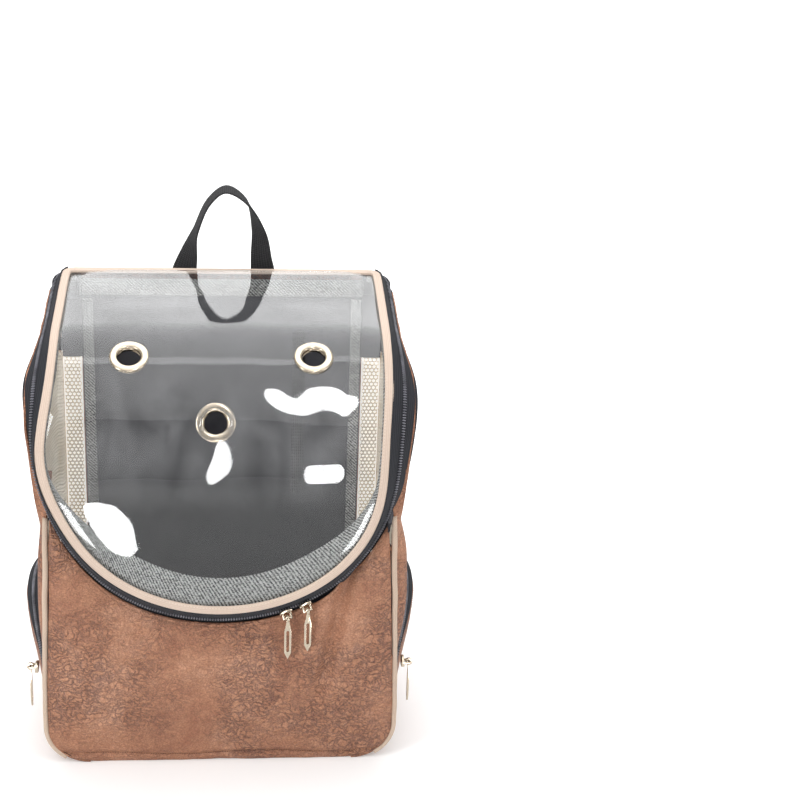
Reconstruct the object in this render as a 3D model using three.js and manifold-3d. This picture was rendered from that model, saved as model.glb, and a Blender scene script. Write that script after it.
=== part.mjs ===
// Pet carrier backpack with a clear lid, modelled in millimetres.
// x runs to the right of someone facing the window, y to the shoulder straps, z up; the floor is z = 0.
import * as THREE from 'three';
import { mergeVertices } from 'three/addons/utils/BufferGeometryUtils.js';
import Module from 'manifold-3d';

const wasm = await Module();
wasm.setup();

// Driving dimensions
const GAP = 0.4;                 // clearance between neighbouring pieces
const LEATHER = 2;               // wall of the imitation leather
const FRONT_SEAM_Y = -112;
const BACK_SEAM_Y = 112;
const FRONT_SWELL = 9;           // how far the front panel bellies out of its seam plane
const BASE_HALF = 160;           // half width of the body at the base
const WAIST_HALF = 152;          // half width of the front seam where the zip meets it
const WAIST_Z = 264;
const CORNER_R = 38;             // bottom corners seen from the front
const SIDE_SWELL = 14;           // how far the side walls belly out between their seams
const BACK_HALF = 158;
const BACK_TOP = 383;
const LID = { front: -124, rise: 269, radius: 130, turn: THREE.MathUtils.degToRad(83), hinge: 110 };
const LID_HALF = 154;            // half width of the lid over its binding
const LID_SWEEP = { top: 340, bottom: 160, power: 1.3 };  // the round lower edge of the lid
const LID_CORNER = 12;           // corner radius beside the hinge
const BINDING = { width: 10, thick: 3 };
const ZIP = { width: 17, thick: 1.2, coil: 5, coilHeight: 1.6, clear: 1 };
const PVC = 1;
const EYELET = { outer: 18, hole: 10, barrel: 11.4, thick: 2.4 };
const EYELET_TURN = { front: 32.6, roof: 60.9 };   // degrees round the lid's shoulder
const EYELET_SPREAD = 82;
const WEBBING = 1.8;               // thickness of all the webbing
const STRAP_WIDTH = 25;
const HANDLE_WIDTH = 28;
const PIPING_R = 2.4;
const POCKET = { half: 100, rise: 40, endFront: 88, endBack: 100, bottom: 41, swell: 18, wall: 1.6 };
const MESH = { front: -72, band: 62, flange: 139, wall: 1.4 };
const SIDES = [{ side: 1, word: 'right' }, { side: -1, word: 'left' }];

// Colours, roughness and metalness of the finishes
const FINISH = {
  leather: { color: 0x96644b, roughness: 0.75, metalness: 0 },
  cream: { color: 0xe3cdbb, roughness: 0.8, metalness: 0 },
  piping: { color: 0xd9c3a5, roughness: 0.8, metalness: 0 },
  mesh: { color: 0xe2d3b8, roughness: 0.9, metalness: 0 },
  webbing: { color: 0x2a2a2a, roughness: 0.85, metalness: 0 },
  zip: { color: 0x232325, roughness: 0.7, metalness: 0 },
  nickel: { color: 0xcfc6b4, roughness: 0.25, metalness: 1 },
  clear: { color: 0xf2f4f5, roughness: 0.05, metalness: 0 },
  heather: { color: 0x8b8b8b, roughness: 0.9, metalness: 0 },
  lining: { color: 0x4a4a50, roughness: 0.7, metalness: 0 },
  plastic: { color: 0x303032, roughness: 0.4, metalness: 0 },
};

const bag = new THREE.Group();
const V = (x, y, z) => new THREE.Vector3(x, y, z);
const mix = THREE.MathUtils.lerp;
const smooth = (from, to, t) => THREE.MathUtils.smoothstep(t, from, to);
const steps = (count) => Array.from({ length: count + 1 }, (_, i) => i / count);

// Geometry helpers

function add(name, finish, geometry) {
  const mesh = new THREE.Mesh(geometry, new THREE.MeshStandardMaterial(FINISH[finish]));
  mesh.name = name;
  bag.add(mesh);
  return mesh;
}

// A BufferGeometry from points and triangles, turned so that its faces point out.
function solid(points, triangles) {
  let volume = 0;
  for (const [a, b, c] of triangles) {
    volume += points[a].dot(points[b].clone().cross(points[c]));
  }
  const faces = volume < 0 ? triangles.map(([a, b, c]) => [a, c, b]) : triangles;
  const geometry = new THREE.BufferGeometry().setFromPoints(points);
  geometry.setIndex(faces.flat());
  return geometry;
}

// Triangles that close a ring of points, worked out in the ring's own plane.
function capOf(ring) {
  const normal = V(0, 0, 0);
  ring.forEach((p, i) => normal.add(p.clone().cross(ring[(i + 1) % ring.length])));
  normal.normalize();
  const across = ring[1].clone().sub(ring[0]).normalize();
  const up = normal.clone().cross(across);
  const flat = ring.map((p) => new THREE.Vector2(p.dot(across), p.dot(up)));
  return THREE.ShapeUtils.triangulateShape(flat, []);
}

// A skin over rings of equal length, closed round on itself or capped at both ends.
function loft(rings, closed = false) {
  const size = rings[0].length;
  const triangles = [];
  const last = closed ? rings.length : rings.length - 1;
  for (let i = 0; i < last; i += 1) {
    const here = i * size;
    const next = ((i + 1) % rings.length) * size;
    for (let j = 0; j < size; j += 1) {
      const k = (j + 1) % size;
      triangles.push([here + j, here + k, next + k], [here + j, next + k, next + j]);
    }
  }
  if (!closed) {
    const end = (rings.length - 1) * size;
    capOf(rings[0]).forEach(([a, b, c]) => triangles.push([a, c, b]));
    capOf(rings[rings.length - 1]).forEach(([a, b, c]) => triangles.push([end + a, end + b, end + c]));
  }
  return solid(rings.flat(), triangles);
}

// A wall between two grids of points; "keep" says which of its cells are there.
function wall(outer, inner, keep = () => true) {
  const columns = outer.length - 1;
  const rows = outer[0].length - 1;
  const stride = rows + 1;
  const points = [...outer.flat(), ...inner.flat()];
  const half = outer.length * stride;
  const at = (i, j) => i * stride + j;
  const there = (i, j) => i >= 0 && j >= 0 && i < columns && j < rows && keep(i, j);
  const triangles = [];
  const quad = (a, b, c, d) => triangles.push([a, b, c], [a, c, d]);
  for (let i = 0; i < columns; i += 1) {
    for (let j = 0; j < rows; j += 1) {
      if (there(i, j)) {
        const [a, b, c, d] = [at(i, j), at(i + 1, j), at(i + 1, j + 1), at(i, j + 1)];
        quad(a, b, c, d);
        quad(half + d, half + c, half + b, half + a);
        if (!there(i, j - 1)) quad(half + a, half + b, b, a);
        if (!there(i + 1, j)) quad(half + b, half + c, c, b);
        if (!there(i, j + 1)) quad(half + c, half + d, d, c);
        if (!there(i - 1, j)) quad(half + d, half + a, a, d);
      }
    }
  }
  const used = [...new Set(triangles.flat())];
  const place = new Map(used.map((index, order) => [index, order]));
  const corners = used.map((index) => points[index]);
  return solid(corners, triangles.map((triangle) => triangle.map((index) => place.get(index))));
}

// A grid of points from a function of two parameters.
const grid = (us, vs, at) => us.map((u) => vs.map((v) => at(u, v)));

// A flat band along a curve: each row has a point and the directions of the width and of the thickness.
function band(rows, width, thick) {
  return loft(rows.map(({ p, across, face }) => {
    const a = across.clone().multiplyScalar(width / 2);
    const t = face.clone().multiplyScalar(thick / 2);
    const corner = (u, v) => p.clone().addScaledVector(a, u).addScaledVector(t, v);
    return [corner(1, 1), corner(-1, 1), corner(-1, -1), corner(1, -1)];
  }));
}

// Rows for a band from a short table of places and width directions, with the twist spread between them.
function strapRows(table, count) {
  const path = new THREE.CatmullRomCurve3(table.map((row) => V(...row.at)), false, 'centripetal');
  const lean = new THREE.CatmullRomCurve3(table.map((row) => V(...row.across)), false, 'centripetal');
  return steps(count).map((t) => {
    const tangent = path.getTangent(t);
    const across = lean.getPoint(t);
    across.addScaledVector(tangent, -across.dot(tangent)).normalize();
    return { p: path.getPoint(t), across, face: tangent.clone().cross(across) };
  });
}

// A round cord along a list of points.
function roundCord(points, radius, sides) {
  return loft(points.map((p, i) => {
    const before = points[Math.max(i - 1, 0)];
    const after = points[Math.min(i + 1, points.length - 1)];
    const tangent = after.clone().sub(before).normalize();
    const across = V(0, 1, 0).addScaledVector(tangent, -tangent.y).normalize();
    const face = tangent.clone().cross(across);
    return steps(sides).slice(0, sides).map((t) => p.clone()
      .addScaledVector(across, radius * Math.cos(2 * Math.PI * t))
      .addScaledVector(face, radius * Math.sin(2 * Math.PI * t)));
  }));
}

function toManifold(geometry) {
  const bare = geometry.clone();
  bare.deleteAttribute('normal');
  bare.deleteAttribute('uv');
  const merged = mergeVertices(bare, 1e-4);
  return new wasm.Manifold(new wasm.Mesh({
    numProp: 3,
    vertProperties: new Float32Array(merged.attributes.position.array),
    triVerts: new Uint32Array(merged.index.array),
  }));
}

function fromManifold(body) {
  const mesh = body.getMesh();
  const geometry = new THREE.BufferGeometry();
  geometry.setAttribute('position', new THREE.BufferAttribute(new Float32Array(mesh.vertProperties), 3));
  geometry.setIndex(new THREE.BufferAttribute(new Uint32Array(mesh.triVerts), 1));
  return geometry;
}

function joined(...geometries) {
  return fromManifold(geometries.map(toManifold).reduce((whole, next) => whole.add(next)));
}

const box = (w, d, h, x, y, z) => new THREE.BoxGeometry(w, d, h).translate(x, y, z);

// The lid: a sheet bent over the shoulder of the bag, the same along the whole of x

const LID_ARC_END = LID.rise + LID.radius * LID.turn;
const ROOF_START_Y = LID.front + LID.radius * (1 - Math.cos(LID.turn));
const LID_END = LID_ARC_END + (LID.hinge - ROOF_START_Y) / Math.sin(LID.turn);

// Place and outward normal at a distance s up the lid's profile.
function lidProfile(s) {
  const turn = THREE.MathUtils.clamp((s - LID.rise) / LID.radius, 0, LID.turn);
  const along = s - LID.rise - turn * LID.radius;
  const y = LID.front + LID.radius * (1 - Math.cos(turn)) + along * Math.sin(turn);
  const z = LID.rise + LID.radius * Math.sin(turn) + along * Math.cos(turn);
  return { y, z, normal: V(0, -Math.cos(turn), Math.sin(turn)) };
}

function lidPoint(x, s, height = 0) {
  const { y, z, normal } = lidProfile(s);
  return V(x, y, z).addScaledVector(normal, height);
}

// The lid's edge laid flat, from one hinge corner round the bottom to the other.
function lidEdge(count) {
  const flat = [];
  const corner = steps(4).map((t) => (1 - t) * Math.PI / 2);
  corner.forEach((a) => flat.push(V(
    LID_HALF - LID_CORNER + LID_CORNER * Math.cos(a), LID_END - LID_CORNER + LID_CORNER * Math.sin(a), 0)));
  flat.push(V(LID_HALF, (LID_END + LID_SWEEP.top) / 2, 0));
  steps(24).forEach((t) => {
    const a = t * Math.PI / 2;
    const fall = (LID_SWEEP.top - LID_SWEEP.bottom) * Math.sin(a) ** (1 / LID_SWEEP.power);
    flat.push(V(LID_HALF * Math.cos(a), LID_SWEEP.top - fall, 0));
  });
  const mirrored = flat.slice(0, -1).reverse().map((p) => V(-p.x, p.y, 0));
  const curve = new THREE.CatmullRomCurve3([...flat, ...mirrored], false, 'centripetal');
  return curve.getSpacedPoints(count).map((p, i) => {
    const tangent = curve.getTangentAt(i / count);
    return { x: p.x, s: p.y, out: new THREE.Vector2(-tangent.y, tangent.x) };
  });
}

// A point beside the lid's edge: "out" along the sheet, "deep" below its outer face.
function besideEdge({ x, s, out }, outward, deep) {
  return lidPoint(x + out.x * outward, s + out.y * outward, -deep);
}

// The zip slants from the lid's edge down to the body; it lies flattest on the shoulder.
function zipSpread(s) {
  const shoulder = 7 * Math.exp(-(((s - 373) / 55) ** 2));
  const chin = 3.5 * (1 - smooth(170, 230, s));
  const outward = 8.5 + shoulder + chin;
  return { outward, deep: Math.sqrt(ZIP.width ** 2 - outward ** 2) };
}

function buildWindow() {
  const half = LID_HALF - BINDING.width - GAP;
  const profile = new THREE.Shape();
  const stations = steps(18).map((t) => mix(LID_SWEEP.bottom, LID_END - BINDING.width - 3 * GAP, t));
  const edge = (height) => stations.map((s) => {
    const p = lidPoint(0, s, height);
    return new THREE.Vector2(p.y, p.z);
  });
  profile.setFromPoints([...edge(PVC / 2), ...edge(-PVC / 2).reverse()]);
  const sheet = new THREE.ExtrudeGeometry(profile, { depth: 2 * half, bevelEnabled: false, steps: 1 });
  sheet.applyMatrix4(new THREE.Matrix4().makeBasis(V(0, 1, 0), V(0, 0, 1), V(1, 0, 0)));
  sheet.translate(-half, 0, 0);

  const inside = lidEdge(96)
    .filter(({ s }) => s < LID_SWEEP.top)
    .map(({ x, s, out }) => {
      const inset = BINDING.width + GAP;
      const p = lidPoint(0, s - out.y * inset);
      return new THREE.Vector2(x - out.x * inset, p.z);
    });
  const roofZ = 600;
  const roofCorner = (x) => new THREE.Vector2(x, roofZ);
  const chin = new THREE.Shape([roofCorner(half + 1), ...inside, roofCorner(-half - 1)]);
  const cutter = new THREE.ExtrudeGeometry(chin, { depth: 400, bevelEnabled: false, steps: 1 });
  cutter.rotateX(Math.PI / 2);
  cutter.translate(0, 200, 0);

  let body = toManifold(sheet).intersect(toManifold(cutter));
  eyeletPlaces().forEach(({ place, normal }) => {
    const hole = new THREE.CylinderGeometry(EYELET.barrel + GAP, EYELET.barrel + GAP, 30, 20);
    hole.applyQuaternion(new THREE.Quaternion().setFromUnitVectors(V(0, 1, 0), normal));
    hole.translate(place.x, place.y, place.z);
    body = body.subtract(toManifold(hole));
  });
  add('window', 'clear', fromManifold(body));
}

function eyeletPlaces() {
  const rows = [
    { name: 'eyelet_left', x: -EYELET_SPREAD, turn: EYELET_TURN.roof },
    { name: 'eyelet_right', x: EYELET_SPREAD, turn: EYELET_TURN.roof },
    { name: 'eyelet_middle', x: -5, turn: EYELET_TURN.front },
  ];
  return rows.map(({ name, x, turn }) => {
    const s = LID.rise + LID.radius * THREE.MathUtils.degToRad(turn);
    return { name, place: lidPoint(x, s), normal: lidProfile(s).normal };
  });
}

// Each eyelet is a rolled face ring, a barrel through the sheet and a washer behind it.
function buildEyelets() {
  const { outer, hole, barrel, thick } = EYELET;
  const under = PVC / 2 + GAP;                 // face ring's seat on the sheet
  const behind = -PVC / 2 - GAP - 1.4;         // washer, clear of the sheet's curve
  const profile = [
    [hole, behind - 1.2], [outer - 2, behind - 1.2], [outer - 2, behind], [barrel, behind],
    [barrel, under], [outer, under], [outer - 0.5, under + thick * 0.6], [outer - 3, under + thick],
    [hole + 2.4, under + thick], [hole, under + thick * 0.5], [hole, behind - 1.2],
  ].map(([r, h]) => new THREE.Vector2(r, h));
  eyeletPlaces().forEach(({ name, place, normal }) => {
    const ring = add(name, 'nickel', new THREE.LatheGeometry(profile, 28));
    ring.quaternion.setFromUnitVectors(V(0, 1, 0), normal);
    ring.position.copy(place);
  });
}

// The cream tape folded round the whole edge of the lid, hinge side included.
function buildWindowBinding() {
  const edge = lidEdge(72);
  const hingeLine = steps(8).slice(1, -1).map((t) => ({
    x: mix(edge[edge.length - 1].x, edge[0].x, t), s: LID_END, out: new THREE.Vector2(0, 1),
  }));
  const t = BINDING.thick / 2;
  const rings = [...edge, ...hingeLine].map((row) => [
    besideEdge(row, 0, -t * 0.6), besideEdge(row, 0, t), besideEdge(row, -BINDING.width, t),
    besideEdge(row, -BINDING.width, -t * 0.6), besideEdge(row, -BINDING.width / 2, -t),
  ]);
  add('window_binding', 'cream', loft(rings, true));
}

// The grey tape that covers the cut edges behind the binding.
function buildInnerTape() {
  const deep = BINDING.thick / 2 + GAP;
  const rings = lidEdge(60).map((row) => [
    besideEdge(row, -3, deep), besideEdge(row, -3, deep + 1.2),
    besideEdge(row, -22, deep + 1.2), besideEdge(row, -22, deep),
  ]);
  add('inner_edge_tape', 'heather', loft(rings));
}

// Two zip tapes and their coil, one ribbon from the end of the hinge band to the other end.
function buildMainZip() {
  const rings = lidEdge(72).map((row) => {
    const { outward, deep } = zipSpread(row.s);
    const at = (q, h) => besideEdge(
      row, ZIP.clear + outward * q + h * deep / ZIP.width, deep * q - h * outward / ZIP.width);
    const low = 0.5 - ZIP.coil / ZIP.width / 2;
    const high = 1 - low;
    const t = ZIP.thick / 2;
    return [
      at(0, t), at(low - 0.03, t), at(low, t + ZIP.coilHeight), at(high, t + ZIP.coilHeight),
      at(high + 0.03, t), at(1, t), at(1, -t), at(0, -t),
    ];
  });
  add('lid_zip', 'zip', loft(rings));
}

// The body's outlines

// Half width of the seams at a height, with the round bottom corner.
function seamHalf(y, z) {
  const front = BASE_HALF - (BASE_HALF - WAIST_HALF) * Math.max(z / WAIST_Z, 0) ** 1.5;
  return mix(front, BACK_HALF, (y - FRONT_SEAM_Y) / (BACK_SEAM_Y - FRONT_SEAM_Y));
}

function sideSwell(y, z) {
  return SIDE_SWELL * (1 - (y / BACK_SEAM_Y) ** 2) * smooth(CORNER_R, 130, z);
}

// Upper edge of a side wall: the outer edge of the zip, from the hinge corner to the front seam.
const SIDE_TOP = { back: LID_END - 16, front: 300 };

function sideTops(count) {
  return lidEdge(count)
    .filter(({ x, s }) => x > 0 && s < SIDE_TOP.back && s > SIDE_TOP.front)
    .map((row) => {
      const { outward, deep } = zipSpread(row.s);
      return besideEdge(row, outward + ZIP.clear + LEATHER + 3 * GAP, deep);
    });
}

// Outer face of a side wall; near its upper edge it leans out to meet the zip.
function sidePoint(top, z, inset = 0) {
  const plain = seamHalf(top.y, z) + sideSwell(top.y, z);
  const reach = 1 - smooth(0, 90, top.z - z);
  return V(mix(plain, top.x, reach) - inset, top.y, z);
}

// Lower edge of the mesh and upper edge of the wall behind the pocket.
function pocketCrown(y) {
  const near = THREE.MathUtils.clamp(y, -POCKET.half, POCKET.half) * 0.97;
  const end = mix(POCKET.endFront, POCKET.endBack, (near + POCKET.half) / (2 * POCKET.half));
  const reach = POCKET.half + 9.5;
  return end + (POCKET.rise + 9) * Math.sqrt(1 - (near / reach) ** 2);
}

const mirrorX = (points, side) => points.map((column) => column.map((p) => V(p.x * side, p.y, p.z)));

// Front, back, base and side walls

function buildFrontPanel() {
  const tip = { z: WAIST_Z - 2, half: WAIST_HALF - 1 };
  const outline = [];
  steps(6).forEach((t) => outline.push(V(-mix(tip.half, BASE_HALF, t ** 0.7), 0, mix(tip.z, CORNER_R, t))));
  steps(5).slice(1).forEach((t) => {
    const a = t * Math.PI / 2;
    outline.push(V(-BASE_HALF + CORNER_R * (1 - Math.cos(a)), 0, CORNER_R * (1 - Math.sin(a))));
  });
  outline.push(V(0, 0, 0));
  const whole = [...outline, ...outline.slice(0, -1).reverse().map((p) => V(-p.x, 0, p.z))];
  const seam = new THREE.CatmullRomCurve3(whole, false, 'centripetal');
  const chin = lidEdge(120)
    .map((row) => besideEdge(row, zipSpread(row.s).outward + ZIP.clear + 3 * GAP, 0))
    .filter((p) => p.z < tip.z && p.y < LID.front + 1)
    .map((p) => V(p.x, 0, p.z))
    .reverse();
  const mouth = new THREE.CatmullRomCurve3(chin, false, 'centripetal');
  const inset = 2.6;
  const face = (u, v, deep) => {
    const low = seam.getPointAt(u);
    const high = mouth.getPointAt(u);
    const p = low.lerp(high, v);
    p.x *= 1 - inset / BASE_HALF;
    p.z = Math.max(p.z, 0.6);
    const rise = Math.sin(Math.PI * (0.1 + 0.85 * v));
    const swell = FRONT_SWELL * rise * Math.sin(Math.PI * u) ** 0.6;
    return V(p.x, FRONT_SEAM_Y - 1 - swell + deep, p.z);
  };
  const us = steps(44);
  const vs = steps(6);
  add('front_panel', 'leather', wall(
    grid(us, vs, (u, v) => face(u, v, 0)), grid(us, vs, (u, v) => face(u, v, LEATHER))));
}

function cornerFloor(x, half) {
  const run = Math.max(Math.abs(x) - (half - CORNER_R), 0);
  return CORNER_R - Math.sqrt(Math.max(CORNER_R ** 2 - run ** 2, 0));
}

// The padded back panel, crowned towards the wearer.
function buildBackPanel() {
  const half = BACK_HALF - PIPING_R - 1.2;
  const pad = { inner: BACK_SEAM_Y + 1, thick: 5, crown: 2.5 };
  const xs = steps(20).map((t) => -half * Math.cos(Math.PI * t));
  const zs = steps(6);
  const height = (x, v) => mix(Math.max(cornerFloor(x, half), 0.6), BACK_TOP, v);
  const crown = (x, v) => pad.crown * (1 - (x / half) ** 2) * Math.sin(Math.PI * v);
  add('back_panel', 'leather', wall(
    grid(xs, zs, (x, v) => V(x, pad.inner + pad.thick + crown(x, v), height(x, v))),
    grid(xs, zs, (x, v) => V(x, pad.inner, height(x, v)))));
}

function buildBase() {
  const half = BASE_HALF - CORNER_R - GAP;
  const deep = BACK_SEAM_Y - GAP;
  add('base_panel', 'leather', box(2 * half, 2 * deep, 2.4, 0, 0, 1.2));
}

// Each side: the wall behind the pocket, the mesh, and the leather above and in front of the mesh.
function buildSides() {
  const backCorner = V(BACK_HALF + 4, BACK_SEAM_Y - 1.5, BACK_TOP + 7);
  const tops = [backCorner, ...sideTops(96)];
  const meshEnd = tops.findIndex((top) => top.y < MESH.front);
  const lowerYs = steps(14).map((t) => -(BACK_SEAM_Y - 1.5) * Math.cos(Math.PI * t));
  const arcs = steps(5).slice(0, -1);
  const rises = steps(5);

  const lower = (deep) => lowerYs.map((y) => {
    const start = BASE_HALF - CORNER_R;
    const bend = arcs.map((t) => {
      const a = t * Math.PI / 2;
      const reach = CORNER_R - deep;
      const lean = (seamHalf(y, CORNER_R) - BASE_HALF) * t;
      return V(start + lean + reach * Math.sin(a), y, CORNER_R - reach * Math.cos(a));
    });
    const rise = rises.map((t) => {
      const z = mix(CORNER_R, pocketCrown(y), t);
      return V(seamHalf(y, z) + sideSwell(y, z) - deep, y, z);
    });
    return [...bend, ...rise];
  });

  const meshRows = (top, deep) => steps(5).map((t) => {
    const z = mix(pocketCrown(top.y) + 3 * GAP, top.z - MESH.band - GAP, t);
    return sidePoint(top, z, deep);
  });
  // The mesh turns in at the back seam and is sewn flat beside the lining.
  const meshColumns = (deep) => {
    const sideColumns = tops.slice(0, meshEnd).map((top) => meshRows(top, deep)).reverse();
    const zs = sideColumns[sideColumns.length - 1].map((p) => p.z);
    const seamY = BACK_SEAM_Y - 0.3 - deep;
    const flange = [BACK_HALF - 5, (BACK_HALF + MESH.flange) / 2, MESH.flange];
    return [...sideColumns, ...flange.map((x) => zs.map((z) => V(x, seamY, z)))];
  };

  // Rows 0 to 4 fill the strip in front of the mesh, rows 4 to 8 the band under the zip.
  const upper = (deep) => tops.map((top, i) => {
    const edge = pocketCrown(top.y) + 3 * GAP;
    const split = top.z - MESH.band;
    const strip = steps(4).slice(0, -1).map((t) => sidePoint(top, mix(edge, split, t), deep));
    const bandRows = steps(4).map((t) => sidePoint(top, mix(split, top.z, t), deep));
    const shift = i === meshEnd - 1 ? -2 * GAP : 0;
    return [...strip.map((p) => V(p.x, p.y + shift, p.z)), ...bandRows];
  });
  const stripRows = 4;
  const upperKeep = (i, j) => j >= stripRows || i >= meshEnd - 1;

  SIDES.forEach(({ side, word }) => {
    const skin = (columns, thick, keep) => wall(
      mirrorX(columns(0), side), mirrorX(columns(thick), side), keep);
    add(`side_lower_${word}`, 'leather', skin(lower, LEATHER));
    add(`side_mesh_${word}`, 'mesh', skin(meshColumns, MESH.wall));
    add(`side_upper_${word}`, 'leather', skin(upper, LEATHER, upperKeep));
  });
}

// The brown strip between the back panel and the hinge edge of the lid.
function buildTopBand() {
  const half = LID_HALF - LID_CORNER - 2;
  const low = { y: BACK_SEAM_Y + 6, z: BACK_TOP + GAP };
  const high = { y: LID.hinge + 2.5, z: 411 };
  const xs = steps(8).map((t) => mix(-half, half, t));
  const bow = (v) => 1.2 * Math.sin(Math.PI * v);
  const at = (x, v, deep) => V(x, mix(low.y, high.y, v) + bow(v) - deep, mix(low.z, high.z, v));
  add('top_band', 'leather', wall(
    grid(xs, steps(3), (x, v) => at(x, v, 0)), grid(xs, steps(3), (x, v) => at(x, v, LEATHER))));
}

// Piping in the front and back seams
function buildPiping() {
  const frontZ = [WAIST_Z - 12, CORNER_R];
  const backZ = [BACK_TOP - 4, CORNER_R];
  const lowest = THREE.MathUtils.degToRad(58);
  const seam = (half, y, [top, bottom]) => [
    ...steps(10).map((t) => mix(top, bottom, t)).map((z) => V(half(z), y, z)),
    ...steps(5).slice(1).map((t) => {
      const a = t * lowest;
      return V(half(CORNER_R) - CORNER_R * (1 - Math.cos(a)), y, CORNER_R * (1 - Math.sin(a)));
    }),
  ];
  const clear = PIPING_R + 0.6;
  const front = seam((z) => seamHalf(FRONT_SEAM_Y, z) + clear - 0.8, FRONT_SEAM_Y - 0.8, frontZ);
  const back = seam(() => BACK_HALF + clear - 0.8, BACK_SEAM_Y + 3.2, backZ);
  SIDES.forEach(({ side, word }) => {
    const flip = (points) => points.map((p) => V(p.x * side, p.y, p.z));
    add(`piping_front_${word}`, 'piping', roundCord(flip(front), PIPING_R, 8));
    add(`piping_back_${word}`, 'piping', roundCord(flip(back), PIPING_R, 8));
  });
}

// Side pockets

// The pocket's mouth: half an ellipse from the front seam to the back seam.
function pocketMouth(turn) {
  const y = -POCKET.half * Math.cos(turn);
  const end = mix(POCKET.endFront, POCKET.endBack, (y + POCKET.half) / (2 * POCKET.half));
  return { y, z: end + POCKET.rise * Math.sin(turn) };
}

function pocketFace(y, z, rise) {
  const dome = (1 - (y / (POCKET.half + 4)) ** 2) * Math.sin(Math.PI / 2 * Math.min(rise * 1.25, 1)) ** 1.2;
  return seamHalf(y, z) + sideSwell(y, z) + POCKET.wall + 1 + (POCKET.swell - SIDE_SWELL * 0.45) * dome;
}

function buildPockets() {
  const turns = steps(18).map((t) => t * Math.PI);
  const panel = (deep) => turns.map((turn) => {
    const mouth = pocketMouth(turn);
    return steps(7).map((t) => {
      const z = mix(POCKET.bottom, mouth.z, t);
      return V(pocketFace(mouth.y, z, t) - deep, mouth.y, z);
    });
  });
  const tapeTurns = steps(24).map((t) => mix(0.06, Math.PI - 0.06, t));
  const tape = tapeTurns.map((turn) => {
    const mouth = pocketMouth(turn);
    const normal = V(0, -Math.cos(turn) * POCKET.rise, Math.sin(turn) * POCKET.half).normalize();
    const outerEdge = V(pocketFace(mouth.y, mouth.z, 1) - GAP, mouth.y, mouth.z);
    outerEdge.addScaledVector(normal, 2 * GAP);
    const innerY = mouth.y + normal.y * 8;
    const innerZ = mouth.z + normal.z * 8;
    const innerEdge = V(seamHalf(innerY, innerZ) + sideSwell(innerY, innerZ) + 1.2, innerY, innerZ);
    const across = innerEdge.clone().sub(outerEdge);
    const width = across.length();
    across.divideScalar(width);
    const along = V(0, normal.z, -normal.y);
    const face = across.clone().cross(along).normalize();
    if (face.x < 0) face.negate();
    const at = (q, h) => outerEdge.clone().addScaledVector(across, q * width).addScaledVector(face, h);
    const t = ZIP.thick / 2;
    const coil = t + 1.3;
    return [
      at(0, t), at(0.26, t), at(0.32, coil), at(0.68, coil), at(0.74, t), at(1, t), at(1, -t), at(0, -t),
    ];
  });
  SIDES.forEach(({ side, word }) => {
    add(`pocket_${word}`, 'leather', wall(mirrorX(panel(0), side), mirrorX(panel(POCKET.wall), side)));
    add(`pocket_zip_${word}`, 'zip', loft(mirrorX(tape, side)));
  });
}

// Zip sliders and their pulls

const SLIDER = { length: 12, width: 8, thick: 3, bar: 1.8, barHeight: 4.4, bridge: 9 };
const PULL = {
  length: 42, width: 6.4, thick: 1.6, slot: 2.6, ringOuter: 3.4, ringInner: 1.7, ringWide: 2.4,
};

// Slider along its own x, its bridge bar over the middle and its seat at z = 0.
function sliderGeometry() {
  const { length, width, thick, bar, barHeight, bridge } = SLIDER;
  const plan = new THREE.Shape();
  plan.moveTo(-length / 2, -width * 0.32);
  plan.lineTo(-length / 2, width * 0.32);
  plan.quadraticCurveTo(0, width * 0.62, length / 2, width * 0.5);
  plan.lineTo(length / 2, -width * 0.5);
  plan.quadraticCurveTo(0, -width * 0.62, -length / 2, -width * 0.32);
  const body = new THREE.ExtrudeGeometry(plan, { depth: thick, bevelEnabled: false, curveSegments: 6 });
  const top = thick + barHeight + bar / 2;
  const leg = (x) => box(bar, bar, top - thick + 0.5, x, 0, (top + thick - 0.5) / 2);
  const reach = (bridge - bar) / 2;
  return joined(body, leg(-reach), leg(reach), box(bridge, bar, bar, 0, 0, thick + barHeight));
}

// Pull hanging down its own -z from a ring round the x axis, with a long slot and a pointed foot.
function pullGeometry(swing) {
  const { ringOuter, ringInner, ringWide, length, width, thick, slot } = PULL;
  const half = ringWide / 2;
  const ring = new THREE.LatheGeometry(
    [[ringInner, -half], [ringOuter, -half], [ringOuter, half], [ringInner, half], [ringInner, -half]]
      .map(([r, h]) => new THREE.Vector2(r, h)), 16);
  ring.rotateZ(-Math.PI / 2);
  const plate = new THREE.Shape();
  plate.moveTo(-ringWide / 2, -ringInner - 0.6);
  plate.lineTo(ringWide / 2, -ringInner - 0.6);
  plate.quadraticCurveTo(width * 0.3, -9, width / 2, -13);
  plate.lineTo(width / 2, -length + 7);
  plate.lineTo(0, -length);
  plate.lineTo(-width / 2, -length + 7);
  plate.lineTo(-width / 2, -13);
  plate.quadraticCurveTo(-width * 0.3, -9, -ringWide / 2, -ringInner - 0.6);
  const gap = new THREE.Path();
  gap.absarc(0, -14, slot / 2, 0, Math.PI, false);
  gap.absarc(0, -length + 9, slot / 2, Math.PI, 2 * Math.PI, false);
  plate.holes.push(gap);
  const blade = new THREE.ExtrudeGeometry(plate, { depth: thick, bevelEnabled: false, curveSegments: 6 });
  blade.translate(0, 0, -thick / 2);
  blade.rotateX(Math.PI / 2);
  blade.rotateY(swing);
  return joined(ring, blade);
}

// A slider seated on a zip: "along" runs down the zip, "face" stands off the tape.
function seat(along, face) {
  const x = along.clone().addScaledVector(face, -along.dot(face)).normalize();
  return new THREE.Matrix4().makeBasis(x, face.clone().cross(x), face);
}

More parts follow.
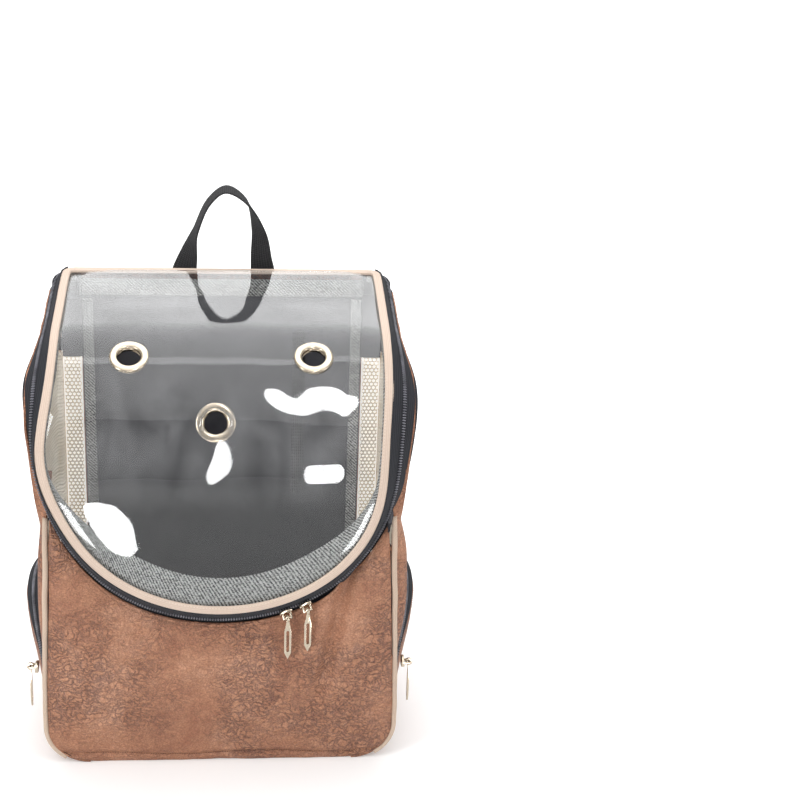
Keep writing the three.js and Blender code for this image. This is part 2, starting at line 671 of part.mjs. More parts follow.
function addSlider(sliderName, pullName, foot, along, face) {
  const turn = seat(along, face);
  const slider = add(sliderName, 'nickel', sliderGeometry());
  slider.quaternion.setFromRotationMatrix(turn);
  slider.position.copy(foot);
  // The pull's ring follows the bar, and its blade hangs straight down.
  const bar = V(1, 0, 0).applyQuaternion(slider.quaternion);
  const pivot = foot.clone().addScaledVector(face, SLIDER.thick + SLIDER.barHeight);
  const level = V(bar.x, bar.y, 0).normalize();
  const forward = V(0, 0, 1).cross(level);
  const hang = new THREE.Matrix4().makeBasis(bar, forward, bar.clone().cross(forward));
  const swing = Math.atan2(bar.z, Math.hypot(bar.x, bar.y));
  const pull = add(pullName, 'nickel', pullGeometry(swing));
  pull.quaternion.setFromRotationMatrix(hang);
  pull.position.copy(pivot);
}

function buildMainSliders() {
  const edge = lidEdge(400);
  const rows = [{ word: 'inner', x: 56 }, { word: 'outer', x: 74 }];
  rows.forEach(({ word, x }) => {
    const index = edge.findIndex((row) => row.x < x && row.s < LID_SWEEP.top);
    const row = edge[index];
    const { outward, deep } = zipSpread(row.s);
    const lift = ZIP.thick / 2 + ZIP.coilHeight + GAP;
    const mid = besideEdge(row, ZIP.clear + outward / 2, deep / 2);
    const edgeOut = besideEdge(row, outward, deep).sub(besideEdge(row, 0, 0));
    const before = besideEdge(edge[index + 1], 0, 0);
    const along = besideEdge(edge[index - 1], 0, 0).sub(before).normalize();
    const face = along.clone().cross(edgeOut).normalize();
    if (face.y > 0) face.negate();
    addSlider(`slider_front_${word}`, `pull_front_${word}`, mid.addScaledVector(face, lift), along, face);
  });
}

function buildPocketSliders() {
  const turn = 0.16;
  const mouth = pocketMouth(turn);
  SIDES.forEach(({ side, word }) => {
    const x = pocketFace(mouth.y, mouth.z, 1) + ZIP.thick / 2 + 2.6;
    const foot = V(side * x, mouth.y - 3, mouth.z + 2);
    addSlider(`slider_pocket_${word}`, `pull_pocket_${word}`, foot, V(0, side, 0), V(side, 0, 0));
  });
}

// Pieces that show through the window

function buildInside() {
  const flat = (name, finish, x, y, z) => add(name, finish, box(
    x[1] - x[0], y[1] - y[0], z[1] - z[0], (x[0] + x[1]) / 2, (y[0] + y[1]) / 2, (z[0] + z[1]) / 2));
  const y = BACK_SEAM_Y - 3;
  flat('back_lining', 'lining', [-136, 136], [y - 1.6, y], [CORNER_R + 4, 384]);
  flat('hinge_lining', 'heather', [-138, 138], [y - 3.2, y - 2], [387, 404]);
  SIDES.forEach(({ side, word }) => {
    const ends = [side * 125, side * 138].sort((a, b) => a - b);
    flat(`lining_binding_${word}`, 'heather', ends, [y - 3.2, y - 2], [130, 384]);
  });
  flat('tether_strap', 'webbing', [69, 81], [y - 3.6, y - 2.1], [176, 350]);
}

// Grab handle: webbing sewn flat on the hinge band, turned edge-on as it rises
function buildHandle() {
  const y = BACK_SEAM_Y + 9.4;
  const table = [
    { at: [-41, y, 385], across: [1, 0, 0] },
    { at: [-41, y, 412], across: [1, 0, 0] },
    { at: [-36, y, 446], across: [0.6, -0.8, 0] },
    { at: [-20, y, 479], across: [0.1, -1, 0] },
    { at: [2, y, 490], across: [0, -1, 0] },
    { at: [23, y, 479], across: [0.1, -1, 0] },
    { at: [36, y, 448], across: [0.75, -0.65, 0] },
    { at: [41, y, 414], across: [1, -0.15, 0] },
    { at: [41, y, 385], across: [1, 0, 0] },
  ];
  add('handle', 'webbing', band(strapRows(table, 36), HANDLE_WIDTH, WEBBING));
}

// Shoulder straps

const PAD = { thick: 11, half: 43, bind: 13.5, edge: 8 };
const PAD_PATH = [
  { x: 60, y: 127, z: 381 }, { x: 57, y: 136, z: 328 }, { x: 52, y: 158, z: 256 },
  { x: 54, y: 184, z: 180 }, { x: 61, y: 207, z: 102 }, { x: 60, y: 215, z: 28 },
];

function padFrame(side) {
  const points = PAD_PATH.map(({ x, y, z }) => V(side * x, y, z));
  const curve = new THREE.CatmullRomCurve3(points, false, 'centripetal');
  return (u) => {
    const tangent = curve.getTangentAt(u);
    const across = V(1, 0, 0).addScaledVector(tangent, -tangent.x).normalize();
    return { p: curve.getPointAt(u), across, face: across.clone().cross(tangent) };
  };
}

function buildShoulderStraps() {
  const tip = 0.955;                                     // the binding closes the strap's foot here
  const halfAt = (u) => PAD.half * (1 - 0.45 * smooth(0.9, 1, u) ** 2);
  SIDES.forEach(({ side, word }) => {
    const frame = padFrame(side);
    const at = (u, offset, height) => {
      const { p, across, face } = frame(u);
      return p.addScaledVector(across, offset).addScaledVector(face, height);
    };
    const padUs = steps(16).map((t) => t * (tip - 0.003));
    const padAt = (sign) => padUs.map((u) => {
      const reach = halfAt(u) - PAD.bind;
      return [-1, -0.6, 0, 0.6, 1].map((k) => at(u, k * reach, sign * PAD.thick / 2 * (1 - 0.12 * k * k)));
    });
    add(`shoulder_pad_${word}`, 'leather', wall(padAt(1), padAt(-1)));

    const bindUs = [...padUs, tip, 1];
    const bindAt = (sign) => bindUs.map((u) => {
      const h = halfAt(u);
      const inner = h - PAD.bind + GAP;
      const edge = sign * PAD.edge / 2;
      const lip = sign * PAD.thick / 2 * 0.9;
      return [[-h, edge], [-inner, lip], [inner, lip], [h, edge]].map(([k, height]) => at(u, k, height));
    });
    const foot = bindUs.length - 2;
    add(`strap_binding_${word}`, 'webbing', wall(bindAt(1), bindAt(-1), (i, j) => j !== 1 || i >= foot));

    const onPad = [0.8, 0.84, 0.88, 0.93, 0.97, 1].map((u) => {
      const { p, across, face } = frame(u);
      const lift = PAD.thick / 2 + GAP + WEBBING / 2 + 3 * smooth(0.93, 1, u);
      return { at: p.addScaledVector(face, lift).toArray(), across: across.toArray() };
    });
    const toLock = [[-17, 5.6], [-12, 4], [-8.6, 2], [-8, -1.2]].map(([along, lift]) => (
      { at: lockPlace(side, along, lift).toArray(), across: lockAcross(side) }));
    add(`strap_patch_${word}`, 'webbing', band(strapRows([...onPad, ...toLock], 27), STRAP_WIDTH, WEBBING));
  });
}

// Ladder locks lie behind the strap feet, turned towards the tabs at the back seams
const LOCK = { half: 17, long: 30, thick: 4, bar: 4, at: [80, 241, 8], turn: THREE.MathUtils.degToRad(40) };
const lockAcross = (side) => [Math.cos(LOCK.turn), -side * Math.sin(LOCK.turn), 0];

// A point on a lock's middle line: "along" towards the tab, "lift" above its middle.
function lockPlace(side, along, lift = 0) {
  const [x, y, z] = LOCK.at;
  return V(side * (x + along * Math.sin(LOCK.turn)), y + along * Math.cos(LOCK.turn), z + lift);
}

function lockGeometry() {
  const { half, long, thick, bar } = LOCK;
  const frame = new THREE.Shape();
  const r = 4;
  frame.absarc(half - r, long / 2 - r, r, 0, Math.PI / 2);
  frame.absarc(-half + r, long / 2 - r, r, Math.PI / 2, Math.PI);
  frame.absarc(-half + r, -long / 2 + r, r, Math.PI, 1.5 * Math.PI);
  frame.absarc(half - r, -long / 2 + r, r, 1.5 * Math.PI, 2 * Math.PI);
  const plate = new THREE.ExtrudeGeometry(frame, { depth: thick, bevelEnabled: false, curveSegments: 4 });
  plate.translate(0, 0, -thick / 2);
  const gap = long / 2 - 1.5 * bar;
  const slot = (y) => toManifold(box(2 * (half - bar / 2), gap, 2 * thick, 0, y, 0));
  const middle = (gap + bar) / 2;
  return fromManifold(toManifold(plate).subtract(slot(middle)).subtract(slot(-middle)));
}

function buildLocks() {
  SIDES.forEach(({ side, word }) => {
    const lock = add(`ladder_lock_${word}`, 'plastic', lockGeometry());
    lock.position.copy(lockPlace(side, 0));
    lock.rotation.set(0, 0, -side * LOCK.turn);
  });
}

// Leather triangles in the back seams that hold the strap and belt webbing
const TAB = { low: 34, high: 106, tip: 66, reach: 38, thick: 3, lean: THREE.MathUtils.degToRad(50) };

// A point beside a tab: "out" from the seam, "off" its face, away from the bag's front.
function tabPlace(side, out, off, z) {
  const c = Math.cos(TAB.lean);
  const sn = Math.sin(TAB.lean);
  return V(side * (BACK_HALF + 4.8 + out * c - off * sn), BACK_SEAM_Y + 8 + out * sn + off * c, z);
}

function buildTabs() {
  SIDES.forEach(({ side, word }) => {
    const corners = [[0, TAB.low], [0, TAB.high], [TAB.reach, TAB.tip]];
    const face = (off) => corners.map(([out, z]) => tabPlace(side, out, off, z));
    add(`strap_tab_${word}`, 'leather', loft([face(-TAB.thick / 2), face(TAB.thick / 2)]));
  });
}

// Lower strap webbing: from the tab through the lock, round its middle bar and out again as a tail
const ROUND_THE_BAR = [
  { along: 34, lift: 8 }, { along: 16, lift: 4.2 }, { along: 3, lift: 4.2 },
  { along: -3.4, lift: 2.6 }, { along: -4.4, lift: 0 }, { along: -3.4, lift: -2.6 },
  { along: 3, lift: -4.2 }, { along: 16, lift: -4.6 }, { along: 34, lift: -6.4 },
];
const LOWER_STRAP = {
  right: { tail: [[122, 271, 1.6], [142, 262, 1.6]] },
  left: { tail: [[124, 268, 1.6], [148, 246, 1.6], [160, 210, 1.6]] },
};

function buildLowerStraps() {
  const off = TAB.thick / 2 + GAP + WEBBING;
  SIDES.forEach(({ side, word }) => {
    const flat = lockAcross(side);
    const tilted = [flat[0] * 0.7, flat[1] * 0.7, side * -0.7];
    const table = [
      { at: tabPlace(side, 12, off + 0.4, 68).toArray(), across: [0, 0, -side] },
      { at: tabPlace(side, 42, off + 4, 60).toArray(), across: [0, 0, -side] },
      { at: [side * 168, 190, 38], across: [flat[0] * 0.3, flat[1] * 0.3, side * -0.95] },
      { at: [side * 142, 238, 24], across: tilted },
      ...ROUND_THE_BAR.map(({ along, lift }) => (
        { at: lockPlace(side, along, lift).toArray(), across: flat })),
      ...LOWER_STRAP[word].tail.map(([x, y, z]) => ({ at: [side * x, y, z], across: flat })),
    ];
    const rows = strapRows(table, 3 * (table.length - 1));
    add(`lower_strap_${word}`, 'webbing', band(rows, STRAP_WIDTH, WEBBING));
  });
}

// Waist belt: two webbings standing on edge behind the bag, joined by a closed side-release buckle
const BUCKLE = { y: 316, z: 17.5, female: [-39, -3], male: [-2.6, 19], bar: 3.4, slot: 5.4, deep: 9 };

function buildBelts() {
  const z = STRAP_WIDTH / 2 + 0.8;
  const rows = [
    { side: 1, word: 'right', bar: BUCKLE.male[1] - BUCKLE.bar / 2, tail: [[70, 322], [142, 312]] },
    { side: -1, word: 'left', bar: -BUCKLE.female[0] - BUCKLE.bar / 2, tail: [[62, 320], [76, 317]] },
  ];
  const off = -(TAB.thick / 2 + GAP + WEBBING);
  rows.forEach(({ side, word, bar, tail }) => {
    const y = BUCKLE.y;
    const turn = [[1, -4], [-2.6, -3.3], [-4.3, 0], [-2.6, 3.3], [1, 4]];
    const places = [
      tabPlace(side, 14, off, 62), tabPlace(side, 42, off, 56),
      V(side * 191, 190, 36), V(side * 182, 238, 18),
      V(side * 150, 284, z), V(side * 92, 307, z + 1), V(side * (bar + 12), y - 4, BUCKLE.z),
      ...turn.map(([x, dy]) => V(side * (bar + x), y + dy, BUCKLE.z)),
      V(side * (bar + 12), y + 4.4, BUCKLE.z - 1),
      ...tail.map(([x, ty]) => V(side * x, ty, z)),
    ];
    const table = places.map((p) => ({ at: p.toArray(), across: [0, 0, 1] }));
    const beltRows = strapRows(table, 3 * (table.length - 1));
    add(`waist_belt_${word}`, 'webbing', band(beltRows, STRAP_WIDTH, WEBBING));
  });
}

function buildBuckle() {
  const { y, z, female, male, bar, slot, deep } = BUCKLE;
  const block = (x, half, thick) => toManifold(box(x[1] - x[0], thick, 2 * half, (x[0] + x[1]) / 2, y, z));
  const shoulder = -23;
  const thinBar = 3.6;
  const opening = (x) => block(x, STRAP_WIDTH / 2 + 0.7, 2 * deep);
  const belly = block([shoulder - 1, female[1]], 10.6, deep);
  const socket = block([female[0], shoulder], 16.5, deep).add(belly)
    .subtract(opening([female[0] - 1, female[0] + bar + slot]))
    .add(block([female[0], female[0] + bar], 16.5, thinBar));
  add('buckle_female', 'plastic', fromManifold(socket));
  const arm = (edge) => toManifold(box(
    male[0] - shoulder + 1.6, deep - 2, 5, (male[0] + shoulder + 2.4) / 2, y, z + edge));
  const plug = block(male, 15.6, deep - 2).add(arm(13.6)).add(arm(-13.6))
    .subtract(opening([male[1] - bar - slot, male[1] + 1]))
    .add(block([male[1] - bar, male[1]], 15.6, thinBar));
  add('buckle_male', 'plastic', fromManifold(plug));
}

buildWindow();
buildEyelets();
buildWindowBinding();
buildInnerTape();
buildMainZip();
buildFrontPanel();
buildBackPanel();
buildBase();
buildSides();
buildTopBand();
buildPiping();
buildPockets();
buildMainSliders();
buildPocketSliders();
buildInside();
buildHandle();
buildShoulderStraps();
buildLocks();
buildTabs();
buildLowerStraps();
buildBelts();
buildBuckle();

export default bag;
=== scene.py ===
# %% [markdown]
# # A pet carrier backpack
# The bag stands upright on a pale floor. A clear sheet bends over its shoulder and zips onto a body of
# imitation leather with mesh sides, two pockets, padded shoulder straps and a belt. Every piece is made where
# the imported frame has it, so the frame's collision shapes and joints still fit what is seen.

# %% Load the frame
import math

import bmesh
import bpy
import numpy as np
from mathutils import Matrix, Vector, noise


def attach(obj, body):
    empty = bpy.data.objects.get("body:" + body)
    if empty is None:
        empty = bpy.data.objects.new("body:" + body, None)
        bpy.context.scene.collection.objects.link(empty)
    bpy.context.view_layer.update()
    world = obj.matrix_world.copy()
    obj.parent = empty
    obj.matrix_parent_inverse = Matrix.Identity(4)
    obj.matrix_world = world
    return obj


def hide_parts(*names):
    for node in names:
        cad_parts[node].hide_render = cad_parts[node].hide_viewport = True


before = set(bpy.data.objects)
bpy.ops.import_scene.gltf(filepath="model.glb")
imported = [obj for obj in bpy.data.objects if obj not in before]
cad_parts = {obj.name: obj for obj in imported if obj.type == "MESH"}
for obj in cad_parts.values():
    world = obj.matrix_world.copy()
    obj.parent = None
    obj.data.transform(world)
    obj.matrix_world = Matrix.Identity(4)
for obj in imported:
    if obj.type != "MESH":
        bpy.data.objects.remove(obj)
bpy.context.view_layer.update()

BAG = "bag"

# %% [markdown]
# ## The camera
# The picture looks down on the window side by about 22 degrees from a metre and a half away. The bag stands
# left of the middle, so the camera is turned past it to the right, and no lens shift is needed.

# %% Camera
def aim_camera(eye, yaw, pitch, roll, lens):
    yaw, pitch, roll = (math.radians(angle) for angle in (yaw, pitch, roll))
    ahead = Vector((math.sin(yaw) * math.cos(pitch), math.cos(yaw) * math.cos(pitch), -math.sin(pitch)))
    right = ahead.cross(Vector((0, 0, 1))).normalized()
    up = right.cross(ahead)
    leaned_right = right * math.cos(roll) + up * math.sin(roll)
    leaned_up = up * math.cos(roll) - right * math.sin(roll)
    data = bpy.data.cameras.new("camera")
    data.lens = lens
    data.sensor_width = 36
    camera = bpy.data.objects.new("camera", data)
    turned = Matrix((leaned_right, leaned_up, -ahead)).transposed().to_4x4()
    camera.matrix_world = Matrix.Translation(eye) @ turned
    bpy.context.collection.objects.link(camera)
    bpy.context.scene.camera = camera
    return camera


camera = aim_camera(eye=(0.0099, -1.5200, 0.9237), yaw=5.91, pitch=21.56, roll=2.29, lens=78.2)
print("camera at", [round(v, 3) for v in camera.matrix_world.translation])

# %% [markdown]
# ## Finishes
# A finish is a small tree of nodes. Patterns that belong to the material, such as grain, read Object
# coordinates in metres. Patterns that follow a strip, such as the ribs of webbing, read a UV map that each
# strip carries, also in metres, so a scale of 1000 means one repeat every millimetre.

# %% Node helpers
def put(tree, kind, inputs=None, **settings):
    node = tree.nodes.new(kind)
    for key, value in settings.items():
        setattr(node, key, value)
    for key, value in (inputs or {}).items():
        socket = node.inputs[key]
        if isinstance(value, bpy.types.NodeSocket):
            tree.links.new(value, socket)
        else:
            socket.default_value = value
    return node


def paint(code):
    channels = [int(code[i:i + 2], 16) / 255 for i in (1, 3, 5)]
    return tuple(c / 12.92 if c <= 0.04045 else ((c + 0.055) / 1.055) ** 2.4 for c in channels) + (1,)


def start_finish(name, coordinates="Object"):
    finish = bpy.data.materials.new(name)
    finish.use_nodes = True
    tree = finish.node_tree
    shader = tree.nodes["Principled BSDF"]
    place = put(tree, "ShaderNodeTexCoord").outputs[coordinates]
    return finish, tree, shader, place


def ramp(tree, value, stops):
    node = put(tree, "ShaderNodeValToRGB", {"Fac": value})
    while len(node.color_ramp.elements) < len(stops):
        node.color_ramp.elements.new(0.5)
    for element, (position, colour) in zip(node.color_ramp.elements, stops):
        element.position = position
        element.color = colour
    return node.outputs["Color"]


print("first node helpers ready")

# %% [markdown]
# Most patterns here are noise. It is stretched to the range that a finish needs, added to or multiplied by
# other patterns, and then used twice: as colour and as small heights for the Bump node.

# %% Patterns and sums
def fleck(tree, place, scale, detail=2.0, roughness=0.5, distortion=0.0):
    return put(tree, "ShaderNodeTexNoise", {
        "Vector": place, "Scale": scale, "Detail": detail, "Roughness": roughness, "Distortion": distortion,
    }).outputs["Fac"]


def spread(tree, value, low, high, source=(0.0, 1.0)):
    return put(tree, "ShaderNodeMapRange", {
        "Value": value, "From Min": source[0], "From Max": source[1], "To Min": low, "To Max": high,
    }).outputs["Result"]


def sums(tree, kind, first, second):
    return put(tree, "ShaderNodeMath", {0: first, 1: second}, operation=kind).outputs["Value"]


def wave(tree, value, repeats):
    turns = sums(tree, "MULTIPLY", value, repeats * 2 * math.pi)
    return put(tree, "ShaderNodeMath", {0: turns}, operation="SINE").outputs["Value"]


def bumps(tree, shader, layers):
    normal = None
    for height, strength, distance in layers:
        inputs = {"Height": height, "Strength": strength, "Distance": distance}
        if normal:
            inputs["Normal"] = normal
        normal = put(tree, "ShaderNodeBump", inputs).outputs["Normal"]
    tree.links.new(normal, shader.inputs["Normal"])


def shade(tree, first, second, amount, mode="MIX"):
    node = put(tree, "ShaderNodeMix", data_type="RGBA", blend_type=mode)
    for socket, value in (("Factor_Float", amount), ("A_Color", first), ("B_Color", second)):
        entry = next(i for i in node.inputs if i.identifier == socket)
        if isinstance(value, bpy.types.NodeSocket):
            tree.links.new(value, entry)
        else:
            entry.default_value = value
    return next(o for o in node.outputs if o.identifier == "Result_Color")


print("pattern helpers ready")

# %% [markdown]
# ## Floor and light
# The studio is white. A broad soft light hangs above and behind the bag: it is what the sloping roof of the
# clear sheet mirrors. The ceiling light shines mostly straight down, so its reflection fades softly down the
# sheet. Two soft lights stand in front, left and right, and light the leather. The cards only show as
# reflections: four give the clear sheet its white glints, and two near the floor brighten its rim.

# %% Lights
LIGHTS = [("light_roof", (0, 0.95, 1.75), (0, 0.0, 0.3), 1.5, 2.0, 2.3),
          ("light_ceiling", (0, -0.9, 2.35), (0, -0.899, 0), 2.0, 2.5, 0.62),
          ("light_left", (-1.25, -1.15, 1.15), (0, -0.1, 0.2), 0.5, 1.1, 8),
          ("light_right", (1.35, -1.0, 1.2), (0, -0.1, 0.2), 0.5, 0.9, 4.5)]
CARDS = [("card_right_high", (0.222, -0.753, 1.64), (0.097, -0.093, 0.354), 0.1, 0.58, 16),
         ("card_right_low", (0.194, -1.569, 0.297), (0.088, -0.123, 0.298), 0.074, 0.49, 16),
         ("card_middle", (0.015, -1.548, 0.569), (0.003, -0.12, 0.313), 0.064, 0.89, 16),
         ("card_left_low", (-0.149, -0.455, 0.07), (-0.102, -0.125, 0.253), 0.066, 0.09, 16),
         ("card_rim_left", (-0.3, -0.36, 0.01), (-0.12, -0.12, 0.22), 0.22, 0.16, 12),
         ("card_rim_right", (0.3, -0.36, 0.01), (0.12, -0.12, 0.22), 0.22, 0.16, 12)]
CEILING_SPREAD = math.radians(115)
WHITE = (1, 1, 1, 1)


def soft_light(name, place, target, width, height, radiance, card=False):
    data = bpy.data.lights.new(name, "AREA")
    data.shape = "ELLIPSE" if card else "RECTANGLE"
    data.size, data.size_y = width, height
    data.energy = radiance * math.pi * width * height * (math.pi / 4 if card else 1)
    lamp = bpy.data.objects.new(name, data)
    lamp.location = place
    lamp.rotation_euler = (Vector(target) - Vector(place)).to_track_quat("-Z", "Y").to_euler()
    lamp.visible_diffuse = not card
    bpy.context.collection.objects.link(lamp)


def studio():
    world = bpy.data.worlds.new("studio")
    world.use_nodes = True
    tree = world.node_tree
    towards = put(tree, "ShaderNodeTexCoord").outputs["Generated"]
    depth = put(tree, "ShaderNodeSeparateXYZ", {"Vector": towards}).outputs["Y"]
    sky = tree.nodes["Background"].inputs
    tree.links.new(spread(tree, depth, 0.45, 0.8, (-0.4, 0.4)), sky["Strength"])
    sky["Color"].default_value = WHITE
    bpy.context.scene.world = world
    bpy.context.scene.view_settings.view_transform = "Standard"
    for row in LIGHTS:
        soft_light(*row)
    bpy.data.lights["light_ceiling"].spread = CEILING_SPREAD
    for row in CARDS:
        soft_light(*row, card=True)


studio()

# %% [markdown]
# The floor is a sheet of white paper, much larger than the bag, so that the camera sees no edge of it. It
# glows a little towards the back, as a lit sweep does, and so runs into the white behind it.

# %% Floor
def floor():
    mesh = bpy.data.meshes.new("floor")
    mesh.from_pydata([(-9, -7, 0), (9, -7, 0), (9, 11, 0), (-9, 11, 0)], [], [(0, 1, 2, 3)])
    piece = bpy.data.objects.new("floor", mesh)
    bpy.context.collection.objects.link(piece)
    paper, tree, shader, place = start_finish("paper")
    sheet = shader.inputs
    sheet["Base Color"].default_value = (0.86, 0.86, 0.86, 1)
    sheet["Roughness"].default_value = 0.95
    sheet["Emission Color"].default_value = WHITE
    depth = put(tree, "ShaderNodeSeparateXYZ", {"Vector": place}).outputs["Y"]
    tree.links.new(spread(tree, depth, 0.1, 0.6, (-0.3, 0.8)), sheet["Emission Strength"])
    mesh.materials.append(paper)


floor()

# %% [markdown]
# The imitation leather has a pressed grain. In places it is fine, in others it breaks into long wrinkled
# cells with dark lines between them, and the face is rubbed lighter on the high spots. Cell noise on
# coordinates that are pushed about by another noise draws the wrinkles, and a slow noise decides where they
# are deep. The back and the straps are a deeper, rougher batch of the same stuff.

# %% Leather
def wrinkle_cells(tree, place, scale, push, width, stretch):
    """Height of a wrinkled skin: 0 in the lines between cells and 1 on top of them."""
    drift = put(tree, "ShaderNodeTexNoise", {"Vector": place, "Scale": scale * 0.45, "Detail": 3.0})
    moved = put(tree, "ShaderNodeVectorMath", {0: drift.outputs["Color"], 1: (push, push, push)},
                operation="MULTIPLY")
    warped = put(tree, "ShaderNodeVectorMath", {0: place, 1: moved.outputs["Vector"]}, operation="ADD")
    drawn = put(tree, "ShaderNodeMapping",
                {"Vector": warped.outputs["Vector"], "Rotation": (0.3, 0.5, 0.2), "Scale": stretch})
    cells = put(tree, "ShaderNodeTexVoronoi", {"Vector": drawn.outputs["Vector"], "Scale": scale},
                feature="DISTANCE_TO_EDGE")
    return put(tree, "ShaderNodeMapRange", {"Value": cells.outputs["Distance"], "From Max": width},
               interpolation_type="SMOOTHSTEP").outputs["Result"]


def leather(name, dark, middle, light, wrinkle):
    finish, tree, shader, place = start_finish(name)
    blotch = fleck(tree, place, 15, 4, 0.6, 0.5)
    rubbed = fleck(tree, place, 110, 6, 0.7, 0.3)
    nap = fleck(tree, place, 640, 4, 0.75)
    coarse = wrinkle_cells(tree, place, 150, 0.024, 0.24, (0.85, 0.85, 1.7))
    fine = wrinkle_cells(tree, place, 330, 0.009, 0.26, (1.0, 1.0, 1.3))
    deep = spread(tree, fleck(tree, place, 11, 3, 0.6, 0.4), 0.0, 1.0, (0.42, 0.6))
    tone = sums(tree, "ADD", sums(tree, "MULTIPLY", blotch, 0.6), sums(tree, "MULTIPLY", rubbed, 0.4))
    colour = ramp(tree, tone, [(0.34, dark), (0.5, middle), (0.66, light)])
    darkness = spread(tree, deep, 0.05 * wrinkle, 0.42)
    lines = sums(tree, "MULTIPLY", sums(tree, "SUBTRACT", 1.0, coarse), darkness)
    pores = sums(tree, "MULTIPLY", sums(tree, "SUBTRACT", 1.0, fine), 0.27)
    worn = sums(tree, "SUBTRACT", spread(tree, nap, 0.82, 1.3, (0.3, 0.7)), sums(tree, "ADD", lines, pores))
    cool = sums(tree, "ADD", worn, sums(tree, "MULTIPLY", lines, 0.18))
    grey = put(tree, "ShaderNodeCombineColor", {"Red": worn, "Green": worn, "Blue": cool}).outputs["Color"]
    tree.links.new(shade(tree, colour, grey, 1.0, "MULTIPLY"), shader.inputs["Base Color"])
    tree.links.new(spread(tree, rubbed, 0.46, 0.72), shader.inputs["Roughness"])
    shader.inputs["Specular IOR Level"].default_value = 0.38
    relief = sums(tree, "MULTIPLY", coarse, spread(tree, deep, 0.25 * wrinkle, 1.0))
    bumps(tree, shader, [(relief, 0.7, 0.0016 * wrinkle), (fine, 0.4, 0.0006), (nap, 0.25, 0.0004)])
    return finish


brown_leather = leather("brown_leather", paint("#925f46"), paint("#ac785a"), paint("#c29072"), 0.9)
brown_back = leather("brown_leather_back", paint("#7a4c37"), paint("#966249"), paint("#b07c60"), 1.5)
print("leather:", brown_leather.name, brown_back.name)

# %% [markdown]
# Webbing, zip tape, binding and piping are narrow woven strips. Their ribs run across or along the strip, so
# they read the strip's own UV map: U along it and V across it. The hem behind the mesh glows a little: this
# is painted light, an emission that stands in for daylight coming through it from outside.

# %% Woven strips
def woven(name, low, high, along, across, slant=0.0, depth=0.0003, fuzz=0.0):
    finish, tree, shader, place = start_finish(name, "UV")
    parts = put(tree, "ShaderNodeSeparateXYZ", {"Vector": place}).outputs
    u, v = parts["X"], parts["Y"]
    leaned = sums(tree, "ADD", u, sums(tree, "MULTIPLY", v, slant))
    rib, cord = wave(tree, leaned, along), wave(tree, v, across)
    weave = sums(tree, "ADD", sums(tree, "MULTIPLY", rib, 0.5), sums(tree, "MULTIPLY", cord, 0.5))
    fibre = fleck(tree, place, 900, 3, 0.6)
    mixed = sums(tree, "ADD", spread(tree, weave, 0.0, 0.6, (-1, 1)), sums(tree, "MULTIPLY", fibre, 0.4))
    tree.links.new(ramp(tree, mixed, [(0.2, low), (0.75, high)]), shader.inputs["Base Color"])
    tree.links.new(spread(tree, fibre, 0.75, 0.93), shader.inputs["Roughness"])
    shader.inputs["Specular IOR Level"].default_value = 0.25
    shader.inputs["Sheen Weight"].default_value = fuzz
    bumps(tree, shader, [(weave, 0.8, depth), (fibre, 0.3, 0.0002)])
    return finish


black_webbing = woven("black_webbing", paint("#161617"), paint("#38383a"), 520, 300, depth=0.0005)
black_zip = woven("black_zip", paint("#1b1c20"), paint("#3a3b40"), 700, 480, 0.9, 0.00025)
cream_tape = woven("cream_tape", paint("#cbb3a2"), paint("#e2cfbf"), 900, 620, depth=0.0002, fuzz=0.1)
beige_piping = woven("beige_piping", paint("#b49a86"), paint("#e2cdb9"), 620, 0, 0.8, 0.0004, fuzz=0.1)
hem_cloth_painted_glow = woven("hem_cloth_painted_glow", paint("#eee6da"), paint("#fdfaf4"), 900, 800, depth=0.0002)
# painted light: the hem's emission stands in for daylight shining through the cloth
painted_backlight = hem_cloth_painted_glow.node_tree.nodes["Principled BSDF"].inputs
painted_backlight["Emission Color"].default_value = paint("#fff8ee")
painted_backlight["Emission Strength"].default_value = 0.7
print("woven:", [m.name for m in (black_webbing, black_zip, cream_tape, beige_piping, hem_cloth_painted_glow)])

# %% [markdown]
# The lining is a thin charcoal nylon that catches light along its folds. The tapes inside are heather: pale
# and dark fibres spun together, which is noise with a hard ramp, drawn out along the yarn, and woven in a
# slanted twill.

# %% Lining and heather
def nylon(name, low, high):
    finish, tree, shader, place = start_finish(name)
    cloud = fleck(tree, place, 28, 4, 0.6)
    weave = fleck(tree, place, 1500, 2, 0.5)
    mixed = sums(tree, "ADD", sums(tree, "MULTIPLY", cloud, 0.75), sums(tree, "MULTIPLY", weave, 0.25))
    tree.links.new(ramp(tree, mixed, [(0.3, low), (0.72, high)]), shader.inputs["Base Color"])
    tree.links.new(spread(tree, cloud, 0.5, 0.68), shader.inputs["Roughness"])
    bumps(tree, shader, [(weave, 0.08, 0.0001), (fleck(tree, place, 34, 3, 0.5, 1.2), 0.3, 0.002)])
    return finish


def heather(name, dark, light):
    finish, tree, shader, place = start_finish(name)
    drawn = put(tree, "ShaderNodeMapping", {"Vector": place, "Scale": (0.55, 1.0, 1.0)}).outputs["Vector"]
    salt = fleck(tree, drawn, 900, 3, 0.8)
    flat = put(tree, "ShaderNodeTexCoord").outputs["UV"]
    strip = put(tree, "ShaderNodeSeparateXYZ", {"Vector": flat}).outputs
    twill = wave(tree, sums(tree, "ADD", strip["X"], strip["Y"]), 300)
    mixed = sums(tree, "ADD", sums(tree, "MULTIPLY", salt, 0.8), spread(tree, twill, 0.03, 0.17, (-1, 1)))
    tree.links.new(ramp(tree, mixed, [(0.42, dark), (0.58, light)]), shader.inputs["Base Color"])
    tree.links.new(spread(tree, salt, 0.8, 0.95), shader.inputs["Roughness"])
    bumps(tree, shader, [(salt, 0.2, 0.0002), (twill, 0.4, 0.0003)])
    return finish


